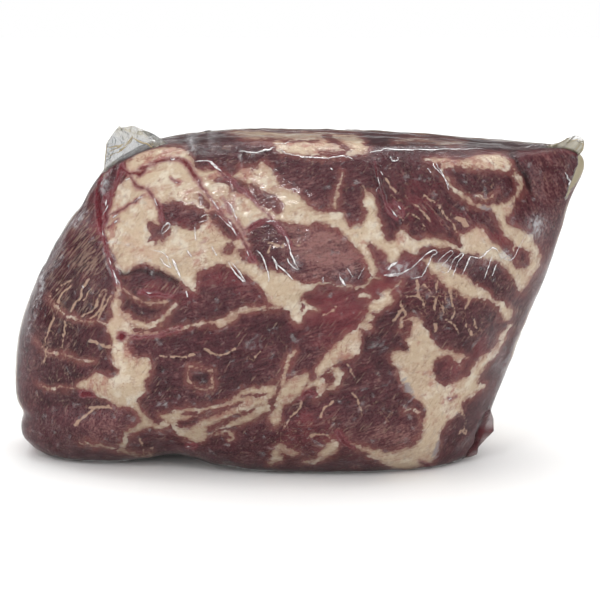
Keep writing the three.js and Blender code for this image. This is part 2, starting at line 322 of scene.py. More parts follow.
# Seams of fat between muscles: x, y and half width, in the picture's pixels
SEAMS = {
    "ring round the eye": [
        (440, 165, 0.8), (450, 183, 1.5), (456, 190, 3), (465, 198, 2), (475, 204, 2), (487, 207, 2.5),
        (500, 207, 3), (510, 204, 3), (515, 199, 2), (519, 194, 1.5), (520, 187, 2.2), (518, 178, 1.2),
        (514, 171, 1), (505, 169, 1), (490, 169, 0.8), (475, 168, 0.8), (458, 166, 0.8), (441, 166, 0.8),
    ],
    "in the eye": [(475, 196, 0.7), (479, 195, 1), (484, 199, 1), (490, 197, 0.8), (500, 192, 0.7)],
    "standing seam": [(342, 172, 0.8), (339, 184, 1.2), (336, 196, 1.8), (335, 208, 2.4)],
    "waist": [
        (170, 330, 0.8), (183, 328, 1.2), (195, 325, 1.8), (205, 324, 0.8), (214, 323, 1.8), (219, 324, 3.6),
        (225, 322, 3.6), (232, 316, 3), (240, 311, 2.6), (252, 309, 2.6), (262, 309, 2), (275, 308, 1.5),
        (288, 308, 1.4),
    ],
    "waist star": [(303, 301, 1.5), (306, 306, 2.2), (303, 313, 1.6)],
    "waist star arm": [(306, 306, 1.4), (311, 310, 1.6), (317, 311, 1)],
    "oval's foot": [(318, 284, 1.4), (330, 284, 1), (340, 286, 1), (352, 287, 0.8), (365, 287, 1),
                    (371, 279, 1.2),
                    (380, 279, 1)],
    "small patch": [(361, 296, 1.4), (368, 297, 2.4)],
    "small arc": [(390, 290, 1), (396, 287, 1.6), (400, 281, 1)],
    "standing twig": [(283, 384, 3), (285, 372, 2.6), (289, 358, 1.8), (296, 351, 1.4)],
    "column's head": [(118, 286, 2), (117, 296, 3)],
    "under the left muscle": [(124, 314, 3), (135, 323, 3.4), (148, 326, 2.8), (159, 322, 2.4),
                              (168, 312, 2.2),
                              (175, 304, 1.6)],
    "beside it": [(133, 334, 1.2), (150, 333, 1.4), (170, 331, 1)],
    "arc in the left muscle": [(122, 288, 0.9), (132, 295, 1.2), (142, 300, 1.2), (152, 303, 1.4),
                               (166, 301, 1.2)],
    "left rib": [(48, 298, 0.6), (56, 307, 0.8), (64, 314, 1.2), (72, 317, 1.2), (80, 320, 0.8),
                 (90, 321, 0.6),
                 (98, 320, 0.6), (108, 325, 0.8)],
    "lower left rib": [(33, 338, 0.4), (40, 347, 0.5), (45, 352, 0.8), (55, 354, 0.7), (70, 357, 0.6),
                       (84, 360, 0.6), (95, 361, 0.5)],
    "left foot rib": [(38, 385, 0.4), (50, 389, 0.8), (62, 387, 0.6), (74, 388, 0.4)],
    "ring round the spot": [(190, 366, 1.2), (200, 368, 0.9), (211, 370, 1.5), (213, 378, 1), (212, 386, 1),
                            (205, 390, 0.8), (197, 388, 1), (190, 381, 1), (189, 372, 0.9), (191, 367, 1)],
    "top streak": [(395, 141, 0.8), (408, 138.5, 1), (425, 139.5, 1), (445, 142, 1), (463, 142, 0.9)],
    "fork's thin end": [(400, 330, 0.9), (403, 323, 1.2), (412, 319, 1.6)],
    "bottom thread": [(405, 413, 0.9), (404, 412, 0.9), (412, 410, 0.9), (420, 413, 0.9)],
    "column's foot": [(80, 444, 0.8), (100, 447, 0.9), (115, 450, 1.3), (122, 452, 1.6), (140, 455, 1.3),
                      (152, 455, 1)],
    "sole": [(215, 434, 1), (228, 431, 1.6), (233, 437, 2), (228, 441, 1.6)],
}

# Threads of marbling: x, y and half width
VEINS = [
    [(417, 280, 0.9), (418, 290, 1.1), (419, 296, 1.3), (423, 301, 1.1), (424, 307, 0.8)],
    [(405, 294, 0.8), (411, 294, 0.9), (418, 294, 0.9)],
    [(424, 284, 1), (428, 290, 1), (432, 296, 1.2), (435, 299, 1.6), (435, 305, 1), (434, 312, 1.2)],
    [(438, 281, 0.8), (436, 292, 0.8)],
    [(450, 288, 1), (451, 296, 0.9), (453, 304, 1), (454, 310, 1.2), (453, 318, 1)],
    [(447, 320, 0.8), (455, 325, 0.8), (460, 333, 0.8)],
    [(443, 304, 0.9), (443, 315, 0.9)],
    [(401, 293, 0.8), (400, 302, 0.9), (403, 308, 1.2), (400, 312, 1.4), (397, 318, 1), (393, 321, 0.8)],
    [(403, 308, 1), (406, 315, 0.9), (401, 322, 1), (402, 328, 0.9)],
    [(464, 296, 0.8), (470, 300, 0.9), (467, 308, 0.8)],
    [(468, 322, 0.8), (472, 334, 0.8)],
    [(475, 320, 0.8), (477, 328, 0.8)],
    [(436, 324, 2.2), (436, 331, 1.2)],
    [(462, 412, 1.4), (465, 420, 0.9), (466, 430, 1), (467, 438, 1)],
    [(460, 435, 0.8), (466, 429, 0.8)],
    [(353, 393, 0.8), (359, 399, 0.9), (361, 410, 1)],
    [(348, 366, 0.9), (351, 372, 0.9), (354, 378, 0.8)],
    [(83, 317, 0.9), (94, 309, 0.9), (98, 300, 0.8), (101, 292, 0.8), (104, 290, 0.8)],
    [(90, 318, 0.8), (99, 310, 0.8), (104, 300, 0.8), (106, 292, 0.8)],
    [(97, 318, 0.8), (105, 305, 0.8), (112, 296, 0.8)],
    [(57, 303, 0.8), (60, 297, 0.8), (64, 291, 0.8), (70, 287, 0.8)],
    [(70, 311, 0.9), (75, 302, 0.8), (80, 294, 0.9), (84, 286, 0.9), (88, 279, 1)],
    [(82, 300, 0.8), (88, 292, 0.8), (92, 288, 0.8)],
    [(50, 296, 0.8), (57, 289, 0.8), (64, 283, 0.8), (70, 281, 0.8)],
    [(53, 318, 0.9), (50, 328, 1.1), (46, 338, 0.8), (44, 352, 0.5), (43, 364, 0.4)],
    [(65, 322, 0.8), (63, 335, 0.6), (61, 350, 0.4)],
    [(90, 341, 0.9), (98, 344, 1), (105, 348, 1), (112, 348, 1.2)],
    [(75, 425, 1), (82, 418, 1.1), (92, 411, 1)],
    [(88, 408, 0.9), (100, 408, 1), (110, 407, 0.9)],
    [(141, 441, 0.8), (144, 448, 0.8), (143, 456, 0.8)],
    [(153, 449, 1), (150, 456, 1)],
    [(424, 195, 0.8), (432, 201, 0.9), (440, 209, 1), (446, 217, 1), (452, 223, 1), (458, 232, 0.9)],
    [(412, 203, 0.8), (420, 209, 0.9), (426, 214, 1), (431, 220, 0.8)],
    [(413, 214, 0.8), (420, 220, 0.8), (426, 226, 0.8)],
    [(386, 178, 0.8), (391, 186, 0.8), (396, 191, 0.8)],
    [(396, 210, 0.8), (403, 219, 0.8)],
    [(457, 217, 2), (463, 219, 2), (467, 225, 2)],
    [(362, 186, 0.9), (365, 192, 0.8)],
    [(292, 240, 0.8), (297, 246, 0.8), (300, 241, 0.8)],
    [(268, 243, 0.8), (274, 244, 0.8), (281, 247, 0.8), (284, 243, 0.8)],
    [(268, 252, 0.8), (271, 245, 0.8)],
    [(322, 316, 0.8), (330, 312, 0.8), (336, 306, 0.8)],
    [(282, 430, 0.8), (290, 420, 0.8), (300, 408, 0.9), (300, 395, 0.8)],
    [(320, 418, 1), (324, 409, 1), (332, 403, 1)],
    [(310, 438, 0.9), (320, 435, 0.9), (330, 437, 1)],
    [(205, 350, 0.8), (222, 356, 0.8), (235, 349, 0.8)],
    [(253, 357, 0.8), (259, 351, 0.8)],
    [(160, 357, 0.8), (180, 357, 0.8), (195, 354, 0.8)],
]

# Folds of film that hold juice: x, y and half width
JUICE_FOLDS = [
    [(121, 169, 1.6), (130, 173, 1.8), (140, 170, 1.8), (150, 165, 1.6), (160, 161, 1.4), (170, 159, 1.4),
     (180, 161, 1.8), (188, 167, 2.4), (193, 175, 2.2), (202, 187, 1.6), (212, 200, 1.2), (220, 211, 1.3),
     (228, 221, 1.6), (236, 231, 1.8), (243, 243, 1.6), (248, 254, 1.4), (253, 263, 1)],
    [(222, 200, 1), (230, 212, 1.1), (238, 224, 1.2), (242, 234, 1)],
    [(208, 160, 0.8), (216, 168, 1.1), (226, 176, 1.3), (236, 186, 1.3), (246, 194, 1.1), (256, 204, 1),
     (266, 212, 1.1), (275, 222, 1.4), (283, 232, 1), (290, 244, 0.8)],
    [(107, 166, 1.6), (103, 176, 1.4), (98, 188, 1.8), (98, 200, 3.2), (99, 212, 3.8), (101, 222, 2.6),
     (103, 234, 1.6), (106, 246, 1.4), (109, 258, 1.1), (113, 271, 1), (118, 286, 1)],
    [(105, 196, 1.2), (106, 208, 2), (105, 222, 1.2)],
    [(107, 218, 1.1), (116, 213, 1.2), (126, 207, 1.4), (136, 201, 1.3), (143, 196, 0.9)],
    [(108, 228, 1.2), (114, 223, 0.9), (120, 219, 0.7)],
    [(129, 175, 1.2), (134, 184, 1.8), (140, 188, 1.6), (148, 190, 1.2), (154, 198, 1.6), (158, 208, 1.8),
     (162, 219, 1)],
    [(122, 165, 1.4), (118, 176, 1.8), (113, 188, 1.4), (109, 200, 1.3), (107, 214, 1)],
    [(133, 173, 1), (139, 174, 2.6), (146, 171, 1.4)],
    [(170, 178, 0.8), (175, 182, 1.4), (180, 183, 0.8)],
    [(243, 228, 1), (252, 226, 1.8), (262, 222, 1.2), (275, 221, 1)],
    [(372, 160, 1.4), (376, 172, 1.8), (381, 188, 1.4), (388, 205, 1.4), (397, 217, 1)],
    [(395, 202, 1), (400, 208, 1.6), (404, 215, 1)],
    [(140, 292, 1), (150, 293, 2), (160, 295, 1.6), (172, 296, 1)],
    [(125, 336, 1), (140, 336, 1.2), (160, 334, 1), (180, 328, 1.2)],
    [(118, 338, 1), (122, 337, 3.6), (126, 337, 1)],
    [(84, 393, 3), (92, 394, 3)],
    [(421, 462, 1.6), (430, 467, 2.8), (438, 469, 1.4), (470, 458, 1), (484, 432, 1.4), (490, 414, 1)],
    [(340, 432, 1.4), (345, 442, 2), (352, 448, 1.4)],
    [(300, 398, 1), (306, 392, 1.6), (314, 396, 1.2)],
    [(448, 399, 1), (456, 397, 0.8)],
    [(186, 447, 1), (194, 446, 1.6)],
]
SHADOW_FOLDS = [
    [(513, 150, 2), (517, 160, 2.3), (522, 171, 2.3), (528, 182, 1.8), (531, 190, 0.9)],
    [(97, 185, 1.2), (97, 200, 1.6), (97, 215, 1.2)],
    [(372, 160, 2.4), (378, 180, 2.4), (386, 198, 1.6)],
    [(120, 274, 1.2), (140, 270, 1.4), (160, 274, 1.4), (176, 281, 1.4)],
]

# Creases of the film, raised and painted white as highlights: x, y and half width
BRIGHT_CREASES = [
    [(466, 266, 0.8), (470, 257, 1), (480, 258, 1), (487, 252, 1), (492, 248, 1.2), (497, 250, 1),
     (500, 256, 1.2),
     (505, 259, 1), (510, 260, 1.1), (514, 257, 1.1), (518, 249, 1.1), (523, 240, 1.1), (527, 233, 1)],
    [(440, 271, 1), (446, 273, 1), (450, 269, 1), (453, 261, 1), (458, 256, 1), (463, 253, 1.2),
     (462, 257, 1),
     (458, 262, 0.9), (455, 270, 0.9), (452, 277, 0.9)],
    [(437, 263, 0.9), (443, 256, 0.9), (450, 251, 1), (453, 253, 1), (447, 260, 0.9), (442, 266, 1)],
    [(412, 268, 0.9), (420, 260, 0.9), (428, 253, 1), (434, 250, 1), (437, 253, 1.1), (432, 256, 0.9),
     (428, 265, 0.9), (424, 273, 0.9), (421, 277, 0.9), (412, 278, 0.9)],
    [(462, 275, 0.8), (468, 262, 0.9), (470, 256, 0.9)],
    [(484, 279, 0.8), (488, 268, 0.8), (492, 256, 0.8)],
    [(492, 276, 0.8), (497, 263, 0.8)],
    [(384, 275, 1.6), (395, 275, 2.2), (404, 272, 1.4), (412, 268, 1)],
    [(388, 270, 2), (392, 265, 2.4), (398, 262, 1)],
    [(154, 250, 0.9), (165, 254, 1), (169, 262, 0.9), (171, 268, 0.8)],
    [(160, 258, 0.8), (165, 264, 0.9), (171, 268, 0.8)],
    [(172, 258, 1), (176, 267, 2.4), (179, 274, 2), (181, 279, 1)],
    [(228, 262, 1), (233, 270, 1), (240, 278, 1), (245, 282, 1.2)],
    [(231, 262, 0.9), (238, 270, 0.9), (245, 281, 1)],
    [(256, 250, 0.9), (262, 256, 0.9), (266, 266, 0.9), (269, 278, 1), (268, 282, 1)],
    [(272, 256, 1), (276, 263, 1.2), (284, 270, 1), (293, 280, 0.8)],
    [(274, 259, 1.2), (278, 270, 0.9)],
    [(285, 236, 0.8), (289, 246, 0.9), (291, 254, 1), (295, 263, 1.4), (299, 270, 1.6)],
    [(287, 258, 1), (291, 265, 1.1), (298, 270, 1.4)],
    [(339, 273, 1), (341, 279, 1.7), (346, 286, 1)],
    [(347, 268, 1), (350, 272, 0.9), (353, 277, 1)],
    [(365, 266, 0.8), (361, 273, 0.9), (358, 279, 0.8)],
    [(323, 277, 0.8), (323, 284, 0.8)],
    [(161, 233, 1), (163, 228, 0.9), (168, 223, 1), (170, 226, 0.9), (166, 231, 0.9), (162, 234, 1)],
    [(199, 222, 0.9), (205, 221, 0.8), (209, 218, 0.9)],
    [(200, 218, 0.8), (207, 214, 0.8)],
    [(195, 227, 0.8), (195, 235, 0.9), (196, 241, 0.8)],
    [(212, 246, 0.8), (213, 250, 0.9), (217, 256, 0.8)],
    [(187, 250, 1), (192, 257, 1.1)],
    [(218, 215, 0.8), (226, 223, 0.8), (233, 229, 0.9), (237, 236, 0.8)],
    [(227, 201, 1), (232, 207, 1.4), (235, 215, 1.4), (237, 219, 1)],
    [(113, 270, 1), (116, 278, 1.3), (120, 284, 1)],
    [(59, 237, 1), (57, 245, 1.2), (55, 248, 0.8)],
    [(432, 164, 0.9), (438, 170, 0.9), (444, 178, 0.9), (449, 190, 0.8)],
    [(436, 164, 0.8), (441, 171, 0.9), (446, 180, 0.8), (450, 188, 0.8)],
    [(427, 167, 0.8), (431, 173, 0.9)],
    [(389, 156, 0.8), (392, 161, 0.9), (396, 162, 0.8), (398, 157, 0.8)],
    [(381, 172, 0.9), (383, 175, 1.1)],
    [(376, 192, 1.1), (378, 187, 0.9)],
    [(330, 168, 0.9), (333, 170, 1)],
    [(108, 206, 0.8), (103, 215, 0.8)],
    [(126, 180, 1), (130, 178, 0.8)],
    [(118, 214, 0.9), (113, 218, 0.9)],
    [(134, 202, 0.9), (141, 196, 1)],
    [(82, 286, 1), (84, 288, 1)],
    [(186, 291, 0.9), (188, 297, 0.9)],
    [(194, 160, 0.8), (208, 160, 1), (214, 165, 1.1), (221, 171, 0.8)],
    [(565, 172, 1), (569, 180, 1.3), (568, 186, 0.9)],
    [(240, 150, 0.9), (248, 152, 1), (260, 152, 1.1), (268, 150, 1.6), (275, 148, 1.2)],
    [(274, 144, 0.8), (283, 144, 0.9), (292, 142, 0.8)],
    [(280, 149, 1), (284, 153, 0.9), (298, 156, 1), (315, 158, 1.1), (330, 157.5, 1), (344, 157, 1.1),
     (350, 158, 1.8), (354, 160, 1)],
    [(368, 153, 0.9), (373, 152, 1.2), (384, 150, 1.2), (400, 150, 1.3), (416, 149.5, 1), (430, 150, 1.3),
     (448, 149.5, 1), (462, 149.5, 1.4), (476, 149, 1.3), (486, 150, 0.9)],
    [(519, 148, 0.9), (528, 146.5, 1.2), (537, 145, 1.4), (545, 145, 1), (554, 146.5, 0.9), (562, 148, 0.8)],
]
# Softer creases, raised a little and painted whitish as sheen: x, y and half width
SOFT_CREASES = [
    [(100, 243, 1.2), (117, 243, 1.6), (125, 244, 1.8), (134, 247, 1.2)],
    [(135, 254, 1), (140, 258, 1.4), (144, 264, 1)],
    [(52, 272, 1.2), (60, 262, 1.8), (64, 251, 1.2), (66, 244, 1)],
    [(43, 268, 2), (43, 280, 2.6), (44, 294, 1.6)],
    [(88, 212, 1.4), (82, 219, 2), (76, 227, 1.4)],
    [(78, 215, 1), (70, 226, 1.4), (66, 238, 1)],
    [(380, 151, 1), (400, 149, 1.2), (430, 148.5, 1), (470, 148, 1), (500, 147, 0.8)],
    [(190, 136, 2), (192, 143, 2.4), (190, 150, 1.2)],
    [(240, 152, 1), (241, 160, 1.4), (242, 168, 1)],
    [(495, 390, 1), (503, 372, 1.6), (510, 352, 1.4), (517, 335, 1)],
    [(487, 420, 1), (495, 400, 1.6), (503, 385, 1)],
    [(36, 322, 1.4), (38, 308, 1.8), (42, 292, 1.4)],
    [(30, 340, 1), (31, 322, 1.2), (34, 304, 1)],
    [(455, 450, 0.9), (470, 435, 1), (480, 420, 0.9)],
    [(112, 250, 1), (116, 262, 1.4), (121, 274, 1)],
    [(104, 248, 1), (107, 262, 1.2), (112, 276, 1)],
]

# Film yellowed where it lies many times over: x, y and half width
AMBER_EDGES = [
    [(584, 150, 6), (582, 160, 5.5), (577, 172, 4), (572, 184, 2.6), (567, 197, 1)],
    [(104, 176, 1.6), (106, 166, 2.4), (112, 160, 2.4), (120, 156, 1.6)],
]

# Folds in the loose corners, yellowed where the film is thickest: x, y and half width
CORNER_FOLDS = {
    "film_corner_top_left": [
        [(106, 157, 1.4), (113, 154, 1.2), (120, 151, 1.6), (126, 145, 1.8), (131, 139, 1.8),
         (133, 136, 1.2)],
        [(106, 148, 0.9), (114, 147, 0.9), (122, 145, 1), (128, 141, 1)],
        [(133, 138, 1.2), (140, 142, 1.2), (148, 144, 1), (153, 149, 0.8)],
        [(107, 152, 0.6), (116, 148.5, 0.6), (124, 145.5, 0.6)],
        [(104, 166, 1.4), (104.5, 158, 1.2), (106, 148, 1), (109, 140, 0.8), (114, 133, 0.6)],
        [(120, 152, 0.8), (129, 144, 0.7), (133, 139, 0.6)],
    ],
    "film_seal_top_right": [
        [(548, 146, 0.8), (556, 144, 1), (563, 141, 1.2), (569, 137, 1.2)],
        [(566, 146, 0.9), (572, 141, 1), (579, 140, 1.1), (583, 145, 1.2), (582, 151, 1)],
        [(574, 151, 0.8), (578, 147, 1), (581, 141, 0.8)],
        [(560, 148, 0.7), (567, 149, 0.8), (573, 146, 0.7)],
    ],
}

# Soft-edged areas of the cut face: x, y, reach across, reach up, turn, how much
# Lighter and darker muscle, mostly its own tone; the two long dark marks along the top of the pack are partly
# its darker meat and partly painted shade against the light from above
LIGHTER_MUSCLE = [
    (202, 379, 8, 8, 0, -1.0), (200, 145, 44, 12, 0, -0.8), (440, 141, 100, 7, 0, -0.8),
    (60, 340, 50, 60, 0, -0.4), (325, 250, 46, 28, 12, 1.45), (262, 245, 14, 14, 0, -0.25),
    (300, 185, 30, 24, 20, 0.45), (395, 436, 34, 16, 0, 1.0), (110, 430, 30, 16, 0, 0.55),
    (545, 200, 26, 60, -8, 0.35), (545, 280, 16, 40, -14, 0.55), (430, 205, 34, 26, 30, -0.3),
    (490, 185, 26, 16, 0, -0.2), (240, 345, 60, 34, -6, -0.15), (80, 295, 24, 24, 0, -0.3),
    (145, 305, 22, 14, 0, -0.2), (460, 318, 40, 26, 0, -0.1), (365, 400, 40, 24, 0, -0.12),
    (25, 380, 14, 70, 8, 0.35), (452, 372, 12, 10, 0, 0.6), (250, 290, 22, 12, 30, 0.25),
    (330, 310, 34, 26, -20, 0.15), (380, 285, 14, 10, 0, 0.35), (200, 283, 20, 9, 0, 0.2),
]
REDDER_MUSCLE = [
    (335, 312, 40, 34, -20, 0.75), (385, 285, 22, 16, 0, 0.9), (225, 280, 34, 14, 20, 0.7),
    (165, 290, 40, 10, 4, 0.6), (420, 200, 50, 36, 20, 0.45), (500, 240, 22, 14, 40, 0.7),
    (405, 260, 16, 12, 0, 0.8), (100, 215, 12, 40, 0, 0.6), (310, 420, 30, 20, -40, 0.35),
    (452, 366, 14, 12, 0, 0.6), (320, 440, 40, 12, 0, 0.35), (355, 238, 26, 12, 40, 0.5),
    (525, 200, 20, 40, 0, 0.25), (250, 175, 12, 8, 0, 0.6), (185, 222, 26, 8, 0, 0.4),
    (480, 350, 30, 10, -60, 0.3),
]
MARBLED = [
    (440, 295, 44, 26, 10, 0.6), (330, 350, 20, 14, 0, 0.4), (150, 310, 30, 20, 0, 0.3),
    (75, 300, 34, 24, 0, 0.4), (60, 345, 30, 30, 0, 0.5), (290, 245, 24, 14, 0, 0.5),
    (430, 210, 40, 20, 30, 0.35), (290, 430, 40, 20, 0, 0.4),
]
THIN_FAT = [
    (470, 161, 46, 6, 0, 0.8), (250, 174, 12, 7, 0, 0.7), (350, 240, 16, 8, 40, 0.4),
    (262, 288, 8, 14, 30, 0.6), (58, 330, 8, 14, 0, 0.7), (55, 410, 20, 5, 0, 0.7),
    (182, 400, 22, 5, -14, 0.6), (28, 372, 6, 8, 0, 0.5), (205, 172, 14, 5, 0, 0.6),
    (290, 200, 8, 14, 30, 0.2), (450, 352, 16, 6, 0, 0.5), (260, 400, 14, 4, 0, 0.3),
    (334, 352, 10, 16, 40, 0.6), (290, 290, 8, 8, 0, 0.4), (404, 240, 8, 8, 0, 0.4),
    (225, 437, 14, 6, 0, 0.4), (108, 205, 10, 22, 0, 0.2), (357, 229, 7, 6, 0, 0.2),
]
PINK_FAT = [
    (152, 157, 26, 7, -12, 0.9), (222, 205, 16, 22, 0, 0.6), (214, 226, 12, 16, 50, 0.7),
    (262, 196, 14, 10, 40, 0.5), (185, 196, 12, 8, 0, 0.8), (176, 181, 6, 4, 30, 0.8),
    (113, 240, 7, 26, 0, 0.8), (212, 176, 18, 6, 0, 0.6), (252, 174, 12, 8, 0, 1.0),
    (245, 195, 14, 14, 50, 0.5), (470, 162, 44, 7, 0, 0.8), (440, 360, 26, 14, 0, 0.3),
    (450, 400, 14, 26, 0, 0.4), (422, 385, 16, 20, 30, 0.15), (404, 240, 10, 8, 0, 0.5),
    (126, 350, 14, 16, 0, 0.7), (100, 385, 24, 10, 0, 0.6), (205, 418, 36, 7, -14, 0.7),
    (240, 405, 26, 6, -14, 0.6), (512, 214, 10, 12, 0, 0.5), (200, 262, 10, 10, 0, 0.5),
    (320, 388, 8, 8, 0, 0.6), (300, 145, 70, 8, 0, 0.5), (375, 460, 30, 8, 0, 0.3),
    (340, 350, 16, 14, 40, 0.6), (385, 235, 12, 12, 0, 0.4), (530, 250, 8, 24, 0, 0.4),
    (286, 395, 10, 20, 40, 0.5),
]
# Painted shade on the fat, where the light from above falls strongest: x, y, reach across, reach up, turn,
# how much
PAINTED_SHADE_ON_FAT = [
    (200, 262, 60, 20, 10, 0.2), (150, 155, 30, 8, 0, 0.3),
]
STREAKED = [
    (90, 240, 24, 40, 20, 0.5), (92, 264, 16, 16, 0, 0.8), (66, 255, 22, 40, 20, 0.4),
    (60, 310, 30, 30, 0, 0.35), (60, 375, 24, 24, 0, 0.3), (165, 288, 40, 6, 4, 0.5),
    (330, 430, 60, 14, 0, 0.45), (520, 330, 14, 50, -20, 0.4),
]
SILVER_SKIN = [
    (408, 388, 5, 14, -30, 1.0), (436, 452, 5, 14, 12, 1.0), (485, 208, 8, 4, 20, 0.8),
    (357, 229, 8, 7, 30, 0.7), (316, 206, 10, 4, 10, 0.6), (340, 360, 8, 4, 0, 0.6),
    (335, 377, 6, 10, 0, 0.3), (165, 404, 20, 5, -10, 0.6), (445, 240, 12, 3, 10, 0.4),
    (245, 235, 5, 8, 0, 0.5), (245, 268, 10, 5, 20, 0.35), (130, 320, 12, 10, 0, 0.4),
    (408, 403, 6, 5, 0, 0.6), (182, 282, 5, 4, 0, 0.4), (400, 230, 4, 5, 0, 0.5),
]
CRUMPLED = [
    (300, 160, 90, 10, 0, 1.0), (205, 150, 30, 16, 0, 1.0), (240, 235, 70, 50, 30, 0.3),
    (450, 262, 80, 16, 0, 0.5), (440, 172, 20, 14, 40, 0.7), (120, 190, 24, 24, 0, 0.8),
    (330, 272, 40, 10, 0, 0.6), (60, 250, 30, 50, 30, 0.35), (450, 150, 120, 5, 0, 0.8),
    (140, 255, 30, 20, 0, 0.5), (385, 180, 20, 20, 0, 0.5),
]
# Pale marks on the film, partly milky film and partly painted sheen, such as the bands along the top ridge
# and the patch at the right end
MILKY_AND_PAINTED_SHEEN = [
    (536, 226, 9, 12, 20, 0.5), (398, 268, 14, 7, 0, 0.45), (444, 266, 8, 6, 0, 0.35),
    (24, 340, 8, 60, 8, 0.15), (45, 275, 10, 30, 10, 0.12), (385, 150, 14, 2, -4, 0.25),
    (440, 149, 50, 1.2, 0, 0.15), (505, 148, 44, 1.2, 0, 0.15), (542, 146, 20, 1.6, 0, 0.2),
    (192, 142, 5, 9, 0, 0.4), (213, 138, 5, 8, 20, 0.3), (205, 152, 20, 4, 0, 0.15),
    (170, 143, 16, 3, 0, 0.3), (505, 375, 8, 40, -22, 0.2), (104, 182, 5, 14, 0, 0.5),
    (82, 222, 12, 10, 30, 0.12), (345, 278, 14, 8, 0, 0.15), (485, 262, 20, 8, 0, 0.15),
    (296, 264, 5, 8, 20, 0.3), (505, 255, 6, 5, 0, 0.5), (550, 300, 14, 30, -20, 0.2),
    (232, 208, 6, 12, -10, 0.25), (415, 276, 8, 4, 0, 0.2),
]


def smooth(share):
    """A soft step from 0 to 1."""
    s = np.clip(share, 0, 1)
    return s * s * (3 - 2 * s)


def mix(a, b, share):
    """What lies a share of the way from a to b."""
    return a + (b - a) * share


def profile(points):
    """A smooth curve through a few (position, value) points, flat beyond both ends."""
    at = np.array([p[0] for p in points], float)
    value = np.array([p[1] for p in points], float)
    slope = np.gradient(value, at)

    def curve(position):
        x = np.clip(position, at[0], at[-1])
        i = np.clip(np.searchsorted(at, x, side="right") - 1, 0, len(at) - 2)
        step = at[i + 1] - at[i]
        t = (x - at[i]) / step
        hold = 2 * t**3 - 3 * t**2 + 1
        leaving = (t**3 - 2 * t**2 + t) * step * slope[i]
        arriving = (t**3 - t**2) * step * slope[i + 1]
        return hold * value[i] + (1 - hold) * value[i + 1] + leaving + arriving

    return curve


LEFT_CURVE = profile(LEFT_INSET)
RIGHT_CURVE = profile(RIGHT_INSET)
TOP_CURVE = profile(TOP_INSET)
FOOT_CURVE = profile(FOOT_RISE)
FRONT_CURVE = profile(FRONT_INSET)
BACK_CURVE = profile(BACK_INSET)


def mounds(x, z, marks):
    """The sum of soft mounds at places on a face."""
    total = np.zeros(np.shape(x))
    for at_x, at_z, reach_x, reach_z, turn, amount in marks:
        c, s = math.cos(math.radians(turn)), math.sin(math.radians(turn))
        along = ((x - at_x) * c + (z - at_z) * s) / reach_x
        across = (-(x - at_x) * s + (z - at_z) * c) / reach_z
        total += amount * np.exp(-(along**2) - across**2)
    return total


def pack_surface(cube):
    """The pack's own surface, in mm, for points of the cube from -1 to 1, as the part's source makes it."""
    edge = mix(FOOT_POWER, CROWN_POWER, smooth((cube[:, 2] + 1) / 2))
    outline = np.abs(cube[:, 0]) ** OUTLINE_POWER + np.abs(cube[:, 2]) ** OUTLINE_POWER
    size = (outline ** (edge / OUTLINE_POWER) + np.abs(cube[:, 1]) ** edge) ** (1 / edge)
    a, b, c = (cube / size[:, None]).T
    x = mix(LEFT_CURVE(c) - HALF_LENGTH["left"], HALF_LENGTH["right"] - RIGHT_CURVE(c), (a + 1) / 2)
    z = mix(FOOT_CURVE(a), HEIGHT - TOP_CURVE(a), (c + 1) / 2)
    narrowed = (1 - TOP_NARROWS * smooth((c - 0.1) / 0.9)) * (1 - FOOT_NARROWS * smooth((-c - 0.5) / 0.5))
    front = (FRONT_CURVE(a) - HALF_DEPTH["front"]) * narrowed
    back = (HALF_DEPTH["back"] - BACK_CURVE(a)) * narrowed
    y = mix(front, back, (b + 1) / 2)
    drawn = smooth((a - TAIL["from"]) / TAIL["over"]) * smooth((c - TAIL["from"]) / TAIL["over"])
    x = x + drawn * TAIL["x"]
    z = z + drawn * TAIL["z"]
    y = y + drawn * (TAIL["y"] - y) * TAIL["flattens"]
    x = x + mounds(x, z, [END_CREASE]) * smooth((-a - 0.5) / 0.5)
    facing = smooth((np.abs(b) - 0.55) / 0.4)
    y = y + facing * np.where(b < 0, -mounds(x, z, CUT_FACE_RELIEF), mounds(x, z, FAT_CAP_RELIEF))
    return np.stack([x, y, np.maximum(z, 0)], 1) + TO_CENTRE


def block(cells, finer):
    """Points of a cube from -1 to 1 and the faces between them, with the front's cells made finer."""
    nx, ny, nz = cells
    numbers = {}
    points = []
    faces = []

    def number(i, j, k):
        if (i, j, k) not in numbers:
            numbers[i, j, k] = len(points)
            points.append((2 * i / (nx * finer) - 1, 2 * j / ny - 1, 2 * k / (nz * finer) - 1))
        return numbers[i, j, k]

    def face(*corners):
        outline = []
        for p, q in zip(corners, corners[1:] + corners[:1]):
            outline.append(number(*p))
            if p[1] == 0 and q[1] == 0:
                way = [(b - a) // finer for a, b in zip(p, q)]
                outline += [number(*(a + w * s for a, w in zip(p, way))) for s in range(1, finer)]
        faces.append(outline)

    for i in range(nx * finer):
        for k in range(nz * finer):
            faces.append([number(i, 0, k), number(i + 1, 0, k), number(i + 1, 0, k + 1), number(i, 0, k + 1)])
    xs = [(i * finer, (i + 1) * finer) for i in range(nx)]
    zs = [(k * finer, (k + 1) * finer) for k in range(nz)]
    ys = [(j, j + 1) for j in range(ny)]
    left, right, foot, top = 0, nx * finer, 0, nz * finer
    for a, b in xs:
        for c, d in zs:
            face((a, ny, c), (a, ny, d), (b, ny, d), (b, ny, c))
    for e, f in ys:
        for c, d in zs:
            face((left, e, c), (left, e, d), (left, f, d), (left, f, c))
            face((right, e, c), (right, f, c), (right, f, d), (right, e, d))
        for a, b in xs:
            face((a, e, foot), (a, f, foot), (b, f, foot), (b, e, foot))
            face((a, e, top), (b, e, top), (b, f, top), (a, f, top))
    return np.array(points), faces


